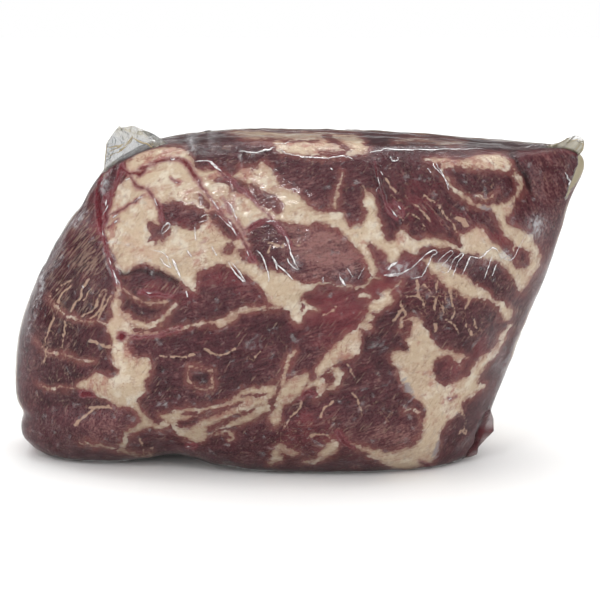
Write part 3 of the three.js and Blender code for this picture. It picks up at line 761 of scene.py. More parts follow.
def mesh_of(name, points, faces):
    """A smooth-shaded mesh from points in mm."""
    mesh = bpy.data.meshes.new(name)
    mesh.from_pydata((np.asarray(points) * MM).tolist(), [], faces)
    mesh.polygons.foreach_set("use_smooth", np.ones(len(mesh.polygons), bool))
    mesh.update()
    return mesh


def normals_of(mesh):
    """The way out of a mesh at each of its points."""
    values = np.empty(len(mesh.vertices) * 3)
    mesh.vertex_normals.foreach_get("vector", values)
    return values.reshape(-1, 3)


def mark(mesh, name, values):
    """Keeps a value for each point of a mesh under a name that its material reads."""
    layer = mesh.attributes.new(name, "FLOAT", "POINT")
    layer.data.foreach_set("value", np.asarray(values, np.float32))


def piece(mesh, material):
    """Puts a mesh in the scene as a piece of the pack, with its material."""
    item = bpy.data.objects.new(mesh.name, mesh)
    bpy.context.collection.objects.link(item)
    mesh.materials.append(material)
    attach(item, "root")
    return item


def picture_places(points):
    """Where points in mm fall in the picture, in its pixels."""
    up = np.array([0, math.sin(CAMERA_UP), math.cos(CAMERA_UP)])
    off = points - (CAMERA_AIM + TO_CAMERA * CAMERA_FROM)
    scale = PICTURE * CAMERA_LENS / CAMERA_SENSOR / (off @ -TO_CAMERA)
    return np.stack([off[:, 0] * scale + PICTURE / 2, PICTURE / 2 - (off @ up) * scale], 1)


def lattice(cells, seed):
    """A fixed random value from -1 to 1 for each whole-number cell."""
    mixed = cells[..., 0] * 374761393 + cells[..., 1] * 668265263 + cells[..., 2] * 1274126177 + seed * 144665
    mixed = np.bitwise_and(mixed, 0xFFFFFFFF)
    mixed = np.bitwise_and((mixed ^ (mixed >> 13)) * 1103515245, 0xFFFFFFFF)
    mixed = mixed ^ (mixed >> 16)
    return mixed / 2**31 - 1


def noise(points, size, seed):
    """Smooth noise from -1 to 1 whose lumps are about size mm."""
    place = points / size
    low = np.floor(place).astype(np.int64)
    t = smooth(place - low)
    total = np.zeros(len(points))
    for corner in np.ndindex(2, 2, 2):
        step = np.array(corner)
        weight = np.prod(np.where(step == 1, t, 1 - t), axis=1)
        total += weight * lattice(low + step, seed)
    return total


def rounded(points, closed=False, steps=3):
    """More points along a smooth curve through a few."""
    p = np.array(points, float)
    p = np.vstack([p[-1:], p, p[:2]]) if closed else np.vstack([p[:1], p, p[-1:]])
    t = (np.arange(steps) / steps)[:, None]
    runs = []
    for before, start, end, after in zip(p, p[1:], p[2:], p[3:]):
        bend = 2 * before - 5 * start + 4 * end - after
        twist = 3 * start - before - 3 * end + after
        runs.append(start + 0.5 * t * (end - before + t * (bend + t * twist)))
    line = np.vstack(runs)
    return line if closed else np.vstack([line, p[-1:]])


def near(places, line, reach):
    """Which places lie within reach of a line's box."""
    low = line[:, :2].min(0) - reach
    high = line[:, :2].max(0) + reach
    return np.nonzero(np.all((places > low) & (places < high), axis=1))[0]


def line_gap(places, line):
    """How far each place is from a line of (x, y, half width) points, less the half width there."""
    gap = np.full(len(places), np.inf)
    for start, end in zip(line, line[1:]):
        way = end[:2] - start[:2]
        share = np.clip(((places - start[:2]) @ way) / max(way @ way, 1e-9), 0, 1)
        off = np.hypot(*(places - start[:2] - share[:, None] * way).T)
        gap = np.minimum(gap, off - mix(start[2], end[2], share))
    return gap


def patch_gap(places, outline):
    """How far each place is outside a closed outline, and below zero inside it."""
    edge = np.hstack([outline, np.zeros((len(outline), 1))])
    gap = line_gap(places, np.vstack([edge, edge[:1]]))
    inside = np.zeros(len(places), bool)
    for (x0, y0), (x1, y1) in zip(outline, np.roll(outline, -1, axis=0)):
        if y0 != y1:
            crosses = (y0 > places[:, 1]) != (y1 > places[:, 1])
            inside ^= crosses & (places[:, 0] < x0 + (places[:, 1] - y0) * (x1 - x0) / (y1 - y0))
    return np.where(inside, -gap, gap)


def nearest(places, lines, reach, gap_of=line_gap, closed=False):
    """The least gap from each place to any of some lines, no more than reach."""
    gaps = np.full(len(places), float(reach))
    for points in lines:
        line = rounded(points, closed)
        some = near(places, line, reach)
        gaps[some] = np.minimum(gaps[some], gap_of(places[some], line))
    return gaps


# The pack's surface, shared by the meat and the film
CUBE, FACES = block(SKIN_CELLS, CUT_FACE_FINER)
PACK = pack_surface(CUBE)
OUTWARD = normals_of(mesh_of("pack_surface", PACK, FACES))
PLACES = picture_places(PACK)
TOWARDS_VIEW = OUTWARD @ TO_CAMERA
ON_CUT_FACE = smooth((TOWARDS_VIEW - 0.04) / 0.12)
SHOWN = np.nonzero(TOWARDS_VIEW > SHOWN_ABOVE)[0]
REACH = REACH_MM / PIXEL_MM


def wandered(places, swings):
    """Places moved by noise, so that what is drawn is as ragged as cut meat: lump in mm, swing in pixels."""
    for seed, (lump, swing) in enumerate(swings):
        places = places + swing * np.stack([noise(PACK, lump, 61 + seed), noise(PACK, lump, 71 + seed)], 1)
    return places


RAGGED = wandered(PLACES, FAT_WANDERS)
CRINKLED = wandered(PLACES, FILM_WANDERS)


def on_cut_face(lines, places=RAGGED, reach=REACH, gap_of=line_gap, closed=False):
    """The gap in mm from each point of the surface to drawn lines, as the picture's camera sees them."""
    gaps = np.full(len(PACK), float(reach))
    gaps[SHOWN] = nearest(places[SHOWN], lines, reach, gap_of, closed)
    return gaps * PIXEL_MM


def soft_marks(marks):
    """The sum of soft marks given in the picture's pixels, on the side that it shows."""
    return mounds(PLACES[:, 0], PLACES[:, 1], marks) * ON_CUT_FACE


def wild_fat():
    """Seams and patches of fat on the sides that the picture doesn't show, as a gap in mm."""
    seams = np.abs(noise(PACK, np.array([40, 26, 30]), 3)) * 30 - 2.4
    broad = 9 * (noise(PACK, 34, 8) * 0.7 + noise(PACK, 17, 9) * 0.3) + 0.8
    cap = smooth((OUTWARD[:, 1] - 0.35) / 0.5)
    thick = 9 * (noise(PACK, np.array([44, 30, 26]), 12) * 0.6 + noise(PACK, 12, 13) * 0.4) - 1.7
    threads = np.abs(noise(PACK, 17, 14)) * 12 - 0.6
    cover = np.minimum(thick, threads + 0.4)
    foot = smooth((-OUTWARD[:, 2] - 0.5) / 0.3)
    return mix(mix(np.minimum(seams, np.maximum(broad, -3)), cover, cap), seams + 0.5, foot)


def wild_lines(size, seed, wide, least):
    """The gap in mm to winding lines that come and go on the sides that the picture doesn't show."""
    line = 0.7 * size * np.abs(noise(PACK, size, seed)) - wide
    broken = 12 * np.maximum(least - noise(PACK, 0.8 * size, seed + 1), 0)
    return mix(line + broken, REACH_MM, ON_CUT_FACE)


def fat_gap():
    """The gap in mm from each point of the meat to the nearest fat, below zero where it is fat."""
    fat = on_cut_face(FAT_PATCHES.values(), gap_of=patch_gap, closed=True)
    meat = on_cut_face(MEAT_ISLANDS.values(), gap_of=patch_gap, closed=True)
    drawn = np.minimum(np.maximum(fat, -meat), on_cut_face(SEAMS.values()))
    return mix(wild_fat(), drawn, ON_CUT_FACE)


TO_FAT = fat_gap()
TO_VEIN = on_cut_face(VEINS, reach=8)
TO_JUICE = np.minimum(on_cut_face(JUICE_FOLDS, reach=10), wild_lines(70, 91, 0.9, 0.1))
TO_SHADOW = on_cut_face(SHADOW_FOLDS, reach=8)
TO_AMBER = on_cut_face(AMBER_EDGES, reach=8)
UNEVEN = 0.35 * noise(PACK, 8, 21) + 0.18 * noise(PACK, 3.6, 22)
TO_SOFT = np.minimum(on_cut_face(SOFT_CREASES, CRINKLED, reach=10), wild_lines(30, 93, 0.4, 0.2))


# What the meat and the film keep at each point for their materials
MEAT_MARKS = (
    "to_fat", "to_vein", "to_juice", "to_shadow", "lighter", "redder", "marbled", "streaked", "thin_fat",
    "pink_fat", "silver_skin", "painted_shade_on_fat", "slant", "stand",
)
FILM_MARKS = ("white", "crumpled", "amber", "juice")


def linear(hex_colour):
    """An sRGB hex colour as the linear red, green, blue and alpha that a shader takes."""
    parts = [int(hex_colour[i:i + 2], 16) / 255 for i in (1, 3, 5)]
    return tuple(p / 12.92 if p <= 0.04045 else ((p + 0.055) / 1.055) ** 2.4 for p in parts) + (1.0,)


def add(tree, kind, inputs=None, out=0, **settings):
    """Adds a shader node with its settings, sets or links its inputs, and gives back one of its outputs."""
    node = tree.nodes.new("ShaderNode" + kind)
    for name, value in settings.items():
        setattr(node, name, value)
    for name, value in (inputs or {}).items():
        if isinstance(value, bpy.types.NodeSocket):
            tree.links.new(value, node.inputs[name])
        else:
            node.inputs[name].default_value = value
    return node.outputs[out] if node.outputs else None


def sum_of(tree, *terms):
    """A weighted sum, from pairs of a pattern and its share."""
    total = 0.0
    for pattern, share in terms:
        total = add(tree, "Math", {0: pattern, 1: share, 2: total}, operation="MULTIPLY_ADD")
    return total


def soft_step(tree, pattern, start, end, least=0.0, most=1.0):
    """A soft step from least to most as a pattern goes from start to end."""
    return add(tree, "MapRange", {
        "Value": pattern, "From Min": start, "From Max": end, "To Min": least, "To Max": most,
    }, interpolation_type="SMOOTHSTEP")


def layered(tree, colour, layers):
    """Lays colours over one another, each coming in softly between two values of its pattern."""
    for pattern, start, end, most, shade in layers:
        share = soft_step(tree, pattern, start, end, most=most)
        shade = linear(shade) if isinstance(shade, str) else shade
        colour = add(tree, "Mix", {0: share, 6: colour, 7: shade}, out=2, data_type="RGBA")
    return colour


def new_material(name):
    """A material without nodes yet, and its node tree."""
    material = bpy.data.materials.new(name)
    material.use_nodes = True
    material.node_tree.nodes.clear()
    return material, material.node_tree


def pork_patterns(tree):
    """What raw pork's colours are made of: kept values, noise at real sizes, fibres and the gap to fat."""
    place = add(tree, "TexCoord", out="Object")
    kept = {name: add(tree, "Attribute", out="Fac", attribute_name=name) for name in MEAT_MARKS}

    def lumps(size_mm, stretch=(1, 1, 1), turn=0, detail=3, seed=0):
        """Noise from about -0.5 to 0.5 with lumps of a real size, drawn out along axes turned about Y."""
        laid = add(tree, "Mapping", {
            "Vector": place, "Scale": stretch, "Rotation": (0, math.radians(turn), 0),
            "Location": (seed * 0.37, seed * 0.19, seed * 0.53),
        }, vector_type="TEXTURE")
        noise = add(tree, "TexNoise", {
            "Vector": laid, "Scale": 1 / (size_mm * MM), "Detail": detail, "Roughness": 0.6,
        })
        return add(tree, "MapRange", {
            "Value": noise, "From Min": 0.3, "From Max": 0.7, "To Min": -0.5, "To Max": 0.5,
        }, clamp=False)

    def lines(*way, **more):
        """How far a noise is from its middle, which is nought along branching lines."""
        return add(tree, "Math", {0: lumps(*way, **more)}, operation="ABSOLUTE")

    def grain(pattern, sizes, reaches, seeds):
        """A pattern drawn out along the fibres: of the middle, of the right side and of the left end."""
        stretches = ((reaches[0], 1, 1), (reaches[1], 1, 1), (1, 1, reaches[2]))
        regions = zip(sizes, stretches, FIBRE_TURNS, seeds)
        middle, slant, stand = [pattern(size, way, turn, seed=seed) for size, way, turn, seed in regions]
        either = add(tree, "Mix", {0: kept["slant"], 2: middle, 3: slant})
        return add(tree, "Mix", {0: kept["stand"], 2: either, 3: stand})

    fibre = grain(lumps, (1, 1, 1), (8, 8, 8), (1, 2, 3))
    bundle = grain(lumps, (4, 4, 4), (4, 4, 4), (35, 36, 37))
    fine = lumps(1.2, detail=4, seed=5)
    ragged = sum_of(tree, (lumps(2.8, detail=4, seed=7), 1.5), (fine, 0.4), (fibre, 1.0))
    gap = sum_of(tree, (kept["to_fat"], 1), (ragged, 1))
    return SimpleNamespace(
        kept=kept, lumps=lumps, lines=lines, grain=grain, fibre=fibre, bundle=bundle, fine=fine, gap=gap)


def muscle_colour(tree, pork):
    """Red-brown muscle with its fibres, bundles and grooves, and a paler margin along the fat."""
    kept = pork.kept
    lumps = pork.lumps
    grooves = pork.grain(pork.lines, (12, 9, 8), (3, 4, 4), (31, 32, 34))
    lighter = sum_of(tree, (kept["lighter"], 1), (lumps(24, detail=4, seed=4), 0.6), (pork.bundle, 0.4),
                     (lumps(5.5, detail=5, seed=23), 0.7), (pork.fibre, 0.9), (pork.fine, 1.1))
    redder = sum_of(tree, (kept["redder"], 1), (lumps(13, detail=4, seed=6), 0.7), (pork.fibre, 0.3))
    specks = sum_of(tree, (lumps(1.5, detail=2, seed=24), 1), (lumps(9, seed=28), 0.6))
    margin = sum_of(tree, (pork.gap, 1), (lumps(6, detail=4, seed=27), 2.5))
    return layered(tree, linear("#3A1A20"), [
        (lighter, -0.9, 0.4, 1.0, "#5C3238"),
        (lighter, 0.2, 1.5, 1.0, "#986C68"),
        (redder, 0.05, 1.1, 0.8, "#873C42"),
        (grooves, 0.06, 0.0, 0.3, "#30131A"),
        (specks, 0.5, 0.8, 0.4, "#94726A"),
        (margin, 3.4, -0.2, 0.6, "#8E5550"),
    ])


def fat_colour(tree, pork):
    """Fat, cream in the thick masses, pink and see-through where it thins over the muscle."""
    kept = pork.kept
    lumps = pork.lumps
    pinker = sum_of(tree, (kept["pink_fat"], 1), (lumps(5, (1, 1, 2), detail=5, seed=12), 1.4),
                    (pork.bundle, 0.8))
    red_lines = sum_of(tree, (pork.lines(6, seed=13), 1), (kept["pink_fat"], -0.07))
    return layered(tree, linear("#A07A6C"), [
        (pork.gap, 0.1, -2.0, 1.0, "#CEBBA2"),
        (lumps(26, detail=5, seed=45), 0.05, 0.5, 0.5, "#C5A08E"),
        (lumps(8, detail=5, seed=11), 0.0, 0.35, 0.75, "#E2D9C8"),
        (lumps(4, detail=5, seed=29), 0.04, 0.4, 0.5, "#B49784"),
        (pork.bundle, 0.1, 0.5, 0.5, "#AE8878"),
        (pinker, 0.35, 1.1, 0.75, "#B07C70"),
        (red_lines, 0.02, -0.03, 0.65, "#8E4A43"),
        (lumps(1.8, seed=14), 0.1, 0.5, 0.3, "#EEE6D8"),
        # Painted shade: fat darkened towards the bottom left and under the marks of painted shade
        (kept["painted_shade_on_fat"], 0.0, 1.0, 0.45, "#8E7C68"),
    ])


def fat_share(tree, pork):
    """How much fat covers the muscle, with a firm edge where it is thick and a soft one where it is thin."""
    thin = sum_of(tree, (pork.kept["thin_fat"], 1), (pork.lumps(11, seed=25), 0.8))
    firm = add(tree, "MapRange", {
        "Value": thin, "From Min": 0.1, "From Max": 1.0, "To Min": 1.0, "To Max": 0.2,
    })
    edge = add(tree, "Math", {0: pork.gap, 1: firm}, operation="MULTIPLY")
    return soft_step(tree, edge, 0.28, -0.28)


def cut_face_colour(tree, pork, muscle, fat, fatness):
    """Fat over muscle, with threads of marbling, silver skin, juice and the dark between folds."""
    kept = pork.kept
    lumps = pork.lumps
    lines = pork.lines
    feathers = sum_of(tree, (lines(5, seed=10), 1), (pork.gap, 0.02))
    streaks = sum_of(tree, (lumps(0.9, (1, 1, 12), 36, seed=38), 2.6), (lumps(7, seed=40), 0.8),
                     (kept["streaked"], 1))
    hairs = sum_of(tree, (pork.grain(lines, (4, 4, 4), (8, 7, 8), (41, 42, 43)), 1),
                   (lumps(8, detail=4, seed=44), 0.16), (kept["marbled"], -0.05))
    net = sum_of(tree, (lines(8, seed=15), 1), (kept["marbled"], -0.05), (lumps(11, seed=17), 0.05))
    vein = sum_of(tree, (kept["to_vein"], 1), (lumps(1.6, seed=18), 0.9), (lumps(4.5, seed=30), 0.7))
    silver = sum_of(tree, (kept["silver_skin"], 1), (lumps(2.2, (3, 1, 1), -34, seed=19), 0.7))
    stain = sum_of(tree, (kept["to_juice"], 1), (lumps(3.2, detail=4, seed=20), 1.1),
                   (lumps(1.3, seed=39), 0.6))
    shadow = sum_of(tree, (kept["to_shadow"], 1), (lumps(3, seed=21), 0.8))
    return layered(tree, muscle, [
        (feathers, 0.07, 0.02, 0.45, "#9A7264"),
        (fatness, 0.0, 1.0, 0.97, fat),
        (hairs, 0.0, -0.04, 0.45, "#A5857A"),
        (streaks, 0.7, 1.5, 0.7, "#9C8070"),
        (net, 0.01, -0.03, 0.7, "#A8846F"),
        (vein, 0.25, -0.25, 0.85, "#BFA08A"),
        (silver, 0.45, 0.95, 0.85, "#9D9496"),
        (stain, 1.7, -0.4, 0.65, "#90404A"),
        (stain, 0.1, -1.1, 0.9, "#641722"),
        (shadow, 1.6, -0.9, 0.85, "#240C10"),
    ])


def raw_pork():
    """Raw pork, cut with a knife: red-brown muscle with its fibres, and cream fat, wet under the film."""
    material, tree = new_material("raw_pork_knife_cut")
    pork = pork_patterns(tree)
    muscle = muscle_colour(tree, pork)
    fat = fat_colour(tree, pork)
    fatness = fat_share(tree, pork)
    colour = cut_face_colour(tree, pork, muscle, fat, fatness)

    # The film lies wet against it, so that the meat itself hardly shines
    height = sum_of(tree, (fatness, 0.6), (pork.fibre, 0.25), (pork.fine, 0.12), (pork.bundle, 0.3))
    bump = add(tree, "Bump", {"Height": height, "Strength": 0.7, "Distance": 0.5 * MM})
    surface = add(tree, "BsdfPrincipled", {
        "Base Color": colour, "Roughness": 0.5, "IOR": 1.38, "Specular IOR Level": 0.12, "Normal": bump,
        "Subsurface Weight": 0.05, "Subsurface Radius": (1.0, 0.4, 0.25), "Subsurface Scale": 1.0 * MM,
    })
    add(tree, "OutputMaterial", {"Surface": surface})
    return material


def shrink_film(name, tint, cover, lit_through=0.0):
    """Clear shrink film, blown thin and drawn tight by heat: glassy, with a grey milky veil that also carries
    painted sheen, and painted white highlights on its creases.
    """
    material, tree = new_material(name)
    place = add(tree, "TexCoord", out="Object")
    kept = {mark: add(tree, "Attribute", out="Fac", attribute_name=mark) for mark in FILM_MARKS}

    def lumps(size_mm, detail=3, stretch=(1, 1, 1)):
        """Noise from 0 to 1, drawn out along an axis that falls to the right as the folds do."""
        laid = add(tree, "Mapping", {"Vector": place, "Scale": stretch, "Rotation": (0, math.radians(55), 0)},
                   vector_type="TEXTURE")
        return add(tree, "TexNoise", {"Vector": laid, "Scale": 1 / (size_mm * MM), "Detail": detail})

    # Where the white mark is, the film's pale tint is painted over the meat in broken patches: painted sheen
    # and highlights, and milky film in places
    cloud = soft_step(tree, lumps(2.2, 5), 0.4, 0.62, least=0.2)
    milky_and_painted_sheen = add(tree, "Math", {0: kept["white"], 1: cloud}, operation="MULTIPLY")
    yellowed = sum_of(tree, (kept["amber"], 1), (lumps(4), 1))
    yellow = add(tree, "MapRange", {"Value": yellowed, "From Min": 0.6, "From Max": 1.1, "To Max": 0.6})
    wet = add(tree, "Math", {0: kept["juice"], 1: 0.85}, operation="MULTIPLY")
    share = cover
    for veil in (milky_and_painted_sheen, yellow, wet):
        share = add(tree, "Math", {0: share, 1: veil}, operation="MAXIMUM")
    shade = layered(tree, linear(tint), [
        (yellowed, 0.6, 1.1, 1.0, "#B0A78C"),
        (wet, 0.0, 0.3, 1.0, "#681A26"),
    ])

    # Folds, sharp where the film is crumpled
    middle = add(tree, "Math", {0: lumps(5), 1: 0.5}, operation="SUBTRACT")
    off = add(tree, "Math", {0: middle}, operation="ABSOLUTE")
    ridge = soft_step(tree, off, 0.07, 0.0)
    fold = add(tree, "Math", {0: ridge, 1: kept["crumpled"]}, operation="MULTIPLY")
    height = sum_of(tree, (lumps(3, 4, (5, 1, 1)), 0.6), (fold, 1.2))
    bump = add(tree, "Bump", {"Height": height, "Strength": 0.6, "Distance": 0.4 * MM})
    clear = add(tree, "BsdfTransparent")
    veiled = add(tree, "MixShader", {
        0: lit_through,
        1: add(tree, "BsdfDiffuse", {"Color": shade, "Normal": bump}),
        2: add(tree, "BsdfTranslucent", {"Color": shade, "Normal": bump}),
    })
    gloss = add(tree, "BsdfGlossy", {"Roughness": 0.1, "Normal": bump})
    body = add(tree, "MixShader", {0: share, 1: clear, 2: veiled})
    shine = add(tree, "Fresnel", {"IOR": 1.29, "Normal": bump})
    film = add(tree, "MixShader", {0: shine, 1: body, 2: gloss})
    add(tree, "OutputMaterial", {"Surface": film})
    return material


def painted_floor():
    """A pale painted studio floor."""
    material, tree = new_material("matt_white_paint")
    surface = add(tree, "BsdfPrincipled", {"Base Color": linear("#F4F4F3"), "Roughness": 0.9})
    add(tree, "OutputMaterial", {"Surface": surface})
    return material


def resting(points, least):
    """Points kept above the floor by some mm, as the pack's weight flattens its foot."""
    return np.stack([points[:, 0], points[:, 1], np.maximum(points[:, 2], least)], 1)


def make_meat():
    """The block of meat: fat stands a little proud of the muscle, and the grain makes it uneven."""
    proud = FAT_PROUD * smooth((1.2 - TO_FAT) / 2.4)
    sunk = MEAT_SINKS * smooth((1.5 - TO_SHADOW) / 1.5)
    points = PACK + OUTWARD * (proud + UNEVEN - sunk - MEAT_IN)[:, None]
    mesh = mesh_of("raw_pork_block", resting(points, MEAT_OFF_FLOOR), FACES)
    across, down = PLACES.T
    unseen = 1 - ON_CUT_FACE
    marks = {
        "to_fat": TO_FAT,
        "to_vein": TO_VEIN,
        "to_juice": TO_JUICE,
        "to_shadow": TO_SHADOW,
        "lighter": soft_marks(LIGHTER_MUSCLE),
        "redder": soft_marks(REDDER_MUSCLE) + 0.25 * unseen,
        "marbled": soft_marks(MARBLED) + 0.5 * unseen,
        "streaked": soft_marks(STREAKED) + unseen * (0.2 + 0.9 * noise(PACK, 26, 15)),
        "thin_fat": soft_marks(THIN_FAT) + unseen * (0.2 + 0.8 * noise(PACK, 34, 16)),
        "pink_fat": soft_marks(PINK_FAT) + unseen * (0.3 + 0.9 * noise(PACK, 28, 17)),
        "silver_skin": soft_marks(SILVER_SKIN) + 0.7 * unseen * smooth((noise(PACK, 16, 18) - 0.45) / 0.5),
        # Painted shade on the fat: darker towards the bottom left, and where the light from above falls
        # strongest
        "painted_shade_on_fat": smooth((down - 340) / 100) * smooth((360 - across) / 60) * 0.6 + soft_marks(PAINTED_SHADE_ON_FAT),
        "slant": smooth((across - 350) / 60) * smooth((280 - down) / 50),
        "stand": smooth((135 - across) / 50),
    }
    for name in MEAT_MARKS:
        mark(mesh, name, marks[name])
    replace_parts(piece(mesh, raw_pork()), "vacuum_pack")


def make_film():
    """The film over the whole block, with its pleats full of juice, milky in places, and painted sheen on its
    soft folds and along the top ridge.
    """
    crease = SOFT_CREASE_PROUD * smooth((2.2 - TO_SOFT) / 2.2)
    pleat = PLEAT_PROUD * smooth((1.0 - TO_JUICE) / 1.4)
    slack = 0.16 * noise(PACK, 11, 31) + 0.07 * noise(PACK, 4, 32) + 0.8 * UNEVEN
    points = resting(PACK + OUTWARD * (FILM_OUT + crease + pleat + slack)[:, None], 0)
    mesh = mesh_of("clear_film", points, FACES)
    unseen = 1 - ON_CUT_FACE
    # The film is painted whitish over those marks and along the soft creases: painted sheen, with milky film
    # in patches on the hidden sides
    milky_and_painted_sheen_marks = soft_marks(MILKY_AND_PAINTED_SHEEN) + 0.3 * unseen * smooth((noise(PACK, 16, 19) - 0.2) / 0.6)
    mark(mesh, "white", np.clip(milky_and_painted_sheen_marks + 0.35 * smooth((0.6 - TO_SOFT) / 1.6), 0, 0.8))
    mark(mesh, "crumpled", np.clip(soft_marks(CRUMPLED), 0, 1) + 0.5 * unseen)
    mark(mesh, "amber", smooth((0.3 - TO_AMBER) / 1.2))
    mark(mesh, "juice", 0.5 * smooth((0.3 - TO_JUICE) / 1.1))
    piece(mesh, shrink_film("clear_shrink_film", "#C9C6C8", 0.0))
    # Painted highlights: raised creases and short glints painted near-white, and folds like them on the
    # hidden sides
    paths = drawn_paths(BRIGHT_CREASES + glints(), points, OUTWARD) + stray_paths(points, OUTWARD)
    make_creases("film_creases", paths, "#F4F0F0", 0.2)


def glints():
    """Short painted glints here and there along the folds that hold juice: small raised creases painted
    white.
    """
    nicks = []
    for line in JUICE_FOLDS:
        drawn = rounded(line, steps=3)
        chance = lattice(np.round(drawn).astype(np.int64), 81)
        for start, end, luck in zip(drawn, drawn[1:], chance):
            if luck > GLINT_CHANCE:
                way = (end - start)[:2] * 0.8
                nicks.append([(*start[:2], 0.5), (*(start[:2] + way), 0.9), (*(start[:2] + 2 * way), 0.4)])
    return nicks


def tree_of(places, numbers):
    """A search tree that finds the numbers of the places nearest to a point."""
    tree = kdtree.KDTree(len(numbers))
    for number in numbers:
        tree.insert(places[number], number)
    tree.balance()
    return tree


def drawn_paths(lines, surface, outward):
    """Folds drawn in the picture, laid on a surface: their points, what is up and half widths, in mm."""
    flat = np.hstack([picture_places(surface), np.zeros((len(surface), 1))])
    tree = tree_of(flat, np.nonzero(outward @ TO_CAMERA > SHOWN_ABOVE)[0])
    paths = []
    for line in lines:
        drawn = rounded(line, steps=CREASE_STEPS)
        found = np.array([[number for _, number, _ in tree.find_n((x, y, 0), 4)] for x, y, _ in drawn])
        paths.append((surface[found].mean(1), outward[found].mean(1), drawn[:, 2] * CREASE_WIDE * PIXEL_MM))
    return paths


def stray_paths(surface, outward):
    """Folds like those drawn, a few side by side here and there on the sides that the picture hides."""
    hidden = np.nonzero((TOWARDS_VIEW < 0.1) & (surface[:, 2] > STRAY_LEAST_HEIGHT))[0]
    tree = tree_of(surface, range(len(surface)))
    draw = np.random.default_rng(STRAY_SEED)
    paths = []
    for middle in draw.choice(hidden, STRAY_GROUPS):
        lean = STRAY_LEAN + 0.7 * draw.normal(size=3)
        for beside in range(draw.integers(1, 5)):
            place = surface[middle] + STRAY_APART * beside * np.cross(outward[middle], lean)
            way = lean.copy()
            points = []
            ups = []
            for _ in range(draw.integers(4, 9)):
                number = tree.find(place)[1]
                up = outward[number]
                place = place - ((place - surface[number]) @ up) * up
                if points and place[2] < STRAY_LEAST_HEIGHT / 3:
                    break
                points.append(place)
                ups.append(up)
                way = way - (way @ up) * up
                way = way / np.linalg.norm(way) + STRAY_WANDER * draw.normal(size=3)
                place = place + STRAY_STEP * way
            if len(points) > 2:
                wide = np.full(len(points), draw.uniform(*STRAY_HALF_WIDE))
                paths.append((np.array(points), np.array(ups), wide))
    return paths


def make_creases(name, paths, tint, cover):
    """Sharp folds of film, raised along their paths and painted in their tint: white as a painted highlight
    on the film's creases, amber on the loose corners.
    """
    points = []
    faces = []
    around = np.arange(CREASE_SIDES) / CREASE_SIDES * 2 * math.pi
    for middle, up, wide in paths:
        side = np.cross(np.gradient(middle, axis=0), up)
        side /= np.linalg.norm(side, axis=1)[:, None] + 1e-9
        ends = np.sin(math.pi * (np.arange(len(middle)) + 0.5) / len(middle)) ** 0.6
        swell = np.clip(0.8 + 0.7 * noise(middle, 4, 33), 0.2, 1.3)
        half = (wide * ends * swell)[:, None, None]
        first = len(points)
        ring = np.cos(around)[:, None] * side[:, None] + CREASE_HIGH * np.sin(around)[:, None] * up[:, None]
        points.extend((middle[:, None] + CREASE_LIFT * up[:, None] + half * ring).reshape(-1, 3))
        for i in range(len(middle) - 1):
            a = first + i * CREASE_SIDES
            b = a + CREASE_SIDES
            for j in range(CREASE_SIDES):
                after = (j + 1) % CREASE_SIDES
                faces.append([a + j, a + after, b + after, b + j])
        faces.append([first + j for j in reversed(range(CREASE_SIDES))])
        faces.append([first + (len(middle) - 1) * CREASE_SIDES + j for j in range(CREASE_SIDES)])
    mesh = mesh_of(name, points, faces)
    mark(mesh, "white", np.full(len(points), CREASE_WHITE))
    piece(mesh, shrink_film("white_" + name, tint, cover))


def flap_points(flap, cells):
    """A thin closed box of film from its root inside the pack to its free edge."""
    def along(points, axis):
        return np.interp(s, np.linspace(0, 1, len(points)), [p[axis] for p in points])

    cube, faces = block(cells, 1)
    s = (cube[:, 0] + 1) / 2
    out = (cube[:, 2] + 1) / 2
    ripple = flap["wave"] * out * np.sin(2 * math.pi * flap["waves"] * s)
    x = mix(along(flap["root"], 0), along(flap["edge"], 0), out)
    z = mix(along(flap["root"], 1), along(flap["edge"], 1), out)
    place = np.stack([x, flap["y"] + flap["leans"] * out + ripple, z], 1)
    crumple = (2.4 * np.abs(noise(place, 7, 41)) + 1.2 * np.abs(noise(place, 3, 42))) * out
    place[:, 1] += crumple + flap["thick"] / 2 * mix(1, 0.5, out) * cube[:, 1]
    return place + TO_CENTRE, faces, out


def make_loose_corners():
    """The film's loose corners: a stiff one, the gathered seal, and one with juice run into it."""
    looks = {
        "film_corner_top_left": ("crumpled_clear_film", "#A8AAAA", 0.45, 0.5, 0.0),
        "film_seal_top_right": ("gathered_film_seal", "#A39C92", 0.15, 0.9, 0.0),
        "film_corner_with_juice": ("film_with_juice", "#7A3A3C", 0.5, 0.3, 1.0),
    }
    for name, (material, tint, cover, amber, juice) in looks.items():
        points, faces, out = flap_points(FLAPS[name], FLAP_CELLS)
        mesh = mesh_of(name, points, faces)
        # White streaks along the crumples: painted sheen on the loose film
        mark(mesh, "white", 0.6 * smooth((0.14 - np.abs(noise(points, 7, 51))) / 0.14))
        mark(mesh, "amber", amber * smooth(0.4 + noise(points, 9, 52)))
        mark(mesh, "juice", juice * smooth(0.4 + 0.8 * noise(points, 8, 53) + 0.5 * (1 - out)))
        mark(mesh, "crumpled", np.ones(len(points)))
        piece(mesh, shrink_film(material, tint, cover, lit_through=0.5))
        if name in CORNER_FOLDS:
            paths = drawn_paths(CORNER_FOLDS[name], points, normals_of(mesh))
            make_creases("folds_of_" + name, paths, "#BBA985", 0.6)


def make_floor():
    """A pale floor, large enough to fill the picture."""
    mesh = bpy.data.meshes.new("studio_floor")
    corners = [(x * FLOOR_HALF, y * FLOOR_HALF, 0) for x, y in ((-1, -1), (1, -1), (1, 1), (-1, 1))]
    mesh.from_pydata(corners, [], [(0, 1, 2, 3)])
    floor = bpy.data.objects.new("studio_floor", mesh)
    bpy.context.collection.objects.link(floor)
    mesh.materials.append(painted_floor())


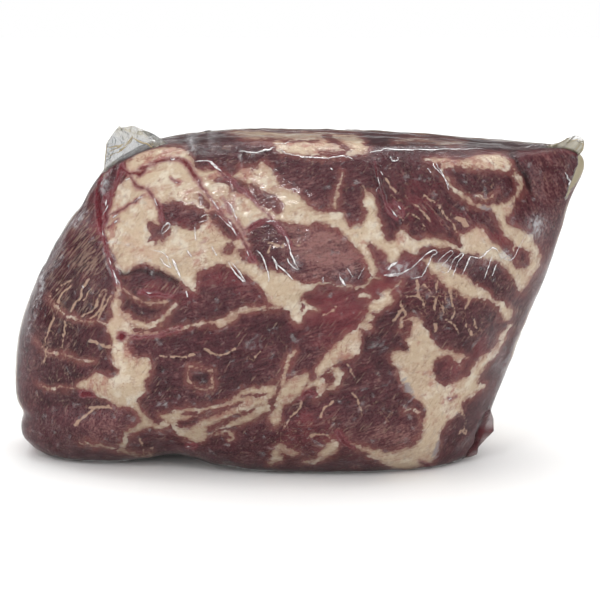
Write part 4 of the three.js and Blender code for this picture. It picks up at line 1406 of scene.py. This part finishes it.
def soft_box(name, place, aim, width, height, watts):
    """A studio soft box that faces a point."""
    light = bpy.data.lights.new(name, "AREA")
    light.shape = "RECTANGLE"
    light.size = width
    light.size_y = height
    light.energy = watts
    lamp = bpy.data.objects.new(name, light)
    lamp.location = place
    lamp.rotation_euler = (Vector(aim) - Vector(place)).to_track_quat("-Z", "Y").to_euler()
    bpy.context.collection.objects.link(lamp)


def make_lights():
    """Soft boxes over and beside the pack, and a studio that glows from high in front."""
    middle = (0, 0, 0.08)
    soft_box("overhead_box", (0, 1.9, 4.0), (0, 1.9, 0), 4.4, 5.0, 120)
    soft_box("left_box", (-1.8, -1.2, 0.7), middle, 1.6, 1.4, 6)
    soft_box("right_box", (1.8, -1.2, 0.7), middle, 1.6, 1.4, 8)
    soft_box("back_left_box", (-2.4, 1.8, 1.0), middle, 1.2, 1.4, 12)
    soft_box("back_right_box", (2.4, 1.8, 1.0), middle, 1.2, 1.4, 12)
    soft_box("ridge_strip", (0.0, 0.55, 1.6), middle, 1.4, 0.12, 3)
    soft_box("small_lamp", (-0.5, -1.2, 1.3), middle, 0.12, 0.12, 2.5)

    # A white studio: a soft glow high in front of the cut face, dim walls, and a floor without an end
    world = bpy.data.worlds.new("studio")
    world.use_nodes = True
    bpy.context.scene.world = world
    tree = world.node_tree
    tree.nodes.clear()
    way = add(tree, "TexCoord", out="Generated")
    facing = add(tree, "VectorMath", {0: way, 1: (-0.15, -0.62, 0.77)}, out="Value", operation="DOT_PRODUCT")
    high = soft_step(tree, facing, 0.1, 1.0, most=1.1)
    ahead = add(tree, "SeparateXYZ", {0: way}, out="Y")
    walls = soft_step(tree, ahead, -0.9, 0.9, least=0.36, most=0.1)
    height = add(tree, "SeparateXYZ", {0: way}, out="Z")
    above = add(tree, "MapRange", {"Value": height, "From Min": 0.0, "From Max": 0.1})
    glow = add(tree, "Mix", {0: above, 2: 1.0, 3: sum_of(tree, (high, 1), (walls, 1))})
    add(tree, "OutputWorld", {"Surface": add(tree, "Background", {"Color": (1, 1, 1, 1), "Strength": glow})})


def make_camera():
    """The picture's own view."""
    camera = bpy.data.cameras.new("picture_camera")
    camera.lens = CAMERA_LENS
    camera.sensor_width = CAMERA_SENSOR
    seat = bpy.data.objects.new("picture_camera", camera)
    ahead = Vector((0, math.cos(CAMERA_UP), -math.sin(CAMERA_UP)))
    seat.location = Vector(CAMERA_AIM * MM) - ahead * CAMERA_FROM * MM
    seat.rotation_euler = ahead.to_track_quat("-Z", "Y").to_euler()
    bpy.context.collection.objects.link(seat)
    bpy.context.scene.camera = seat


bpy.context.scene.view_settings.view_transform = "Standard"
make_camera()
make_meat()
make_film()
make_loose_corners()
make_floor()
make_lights()
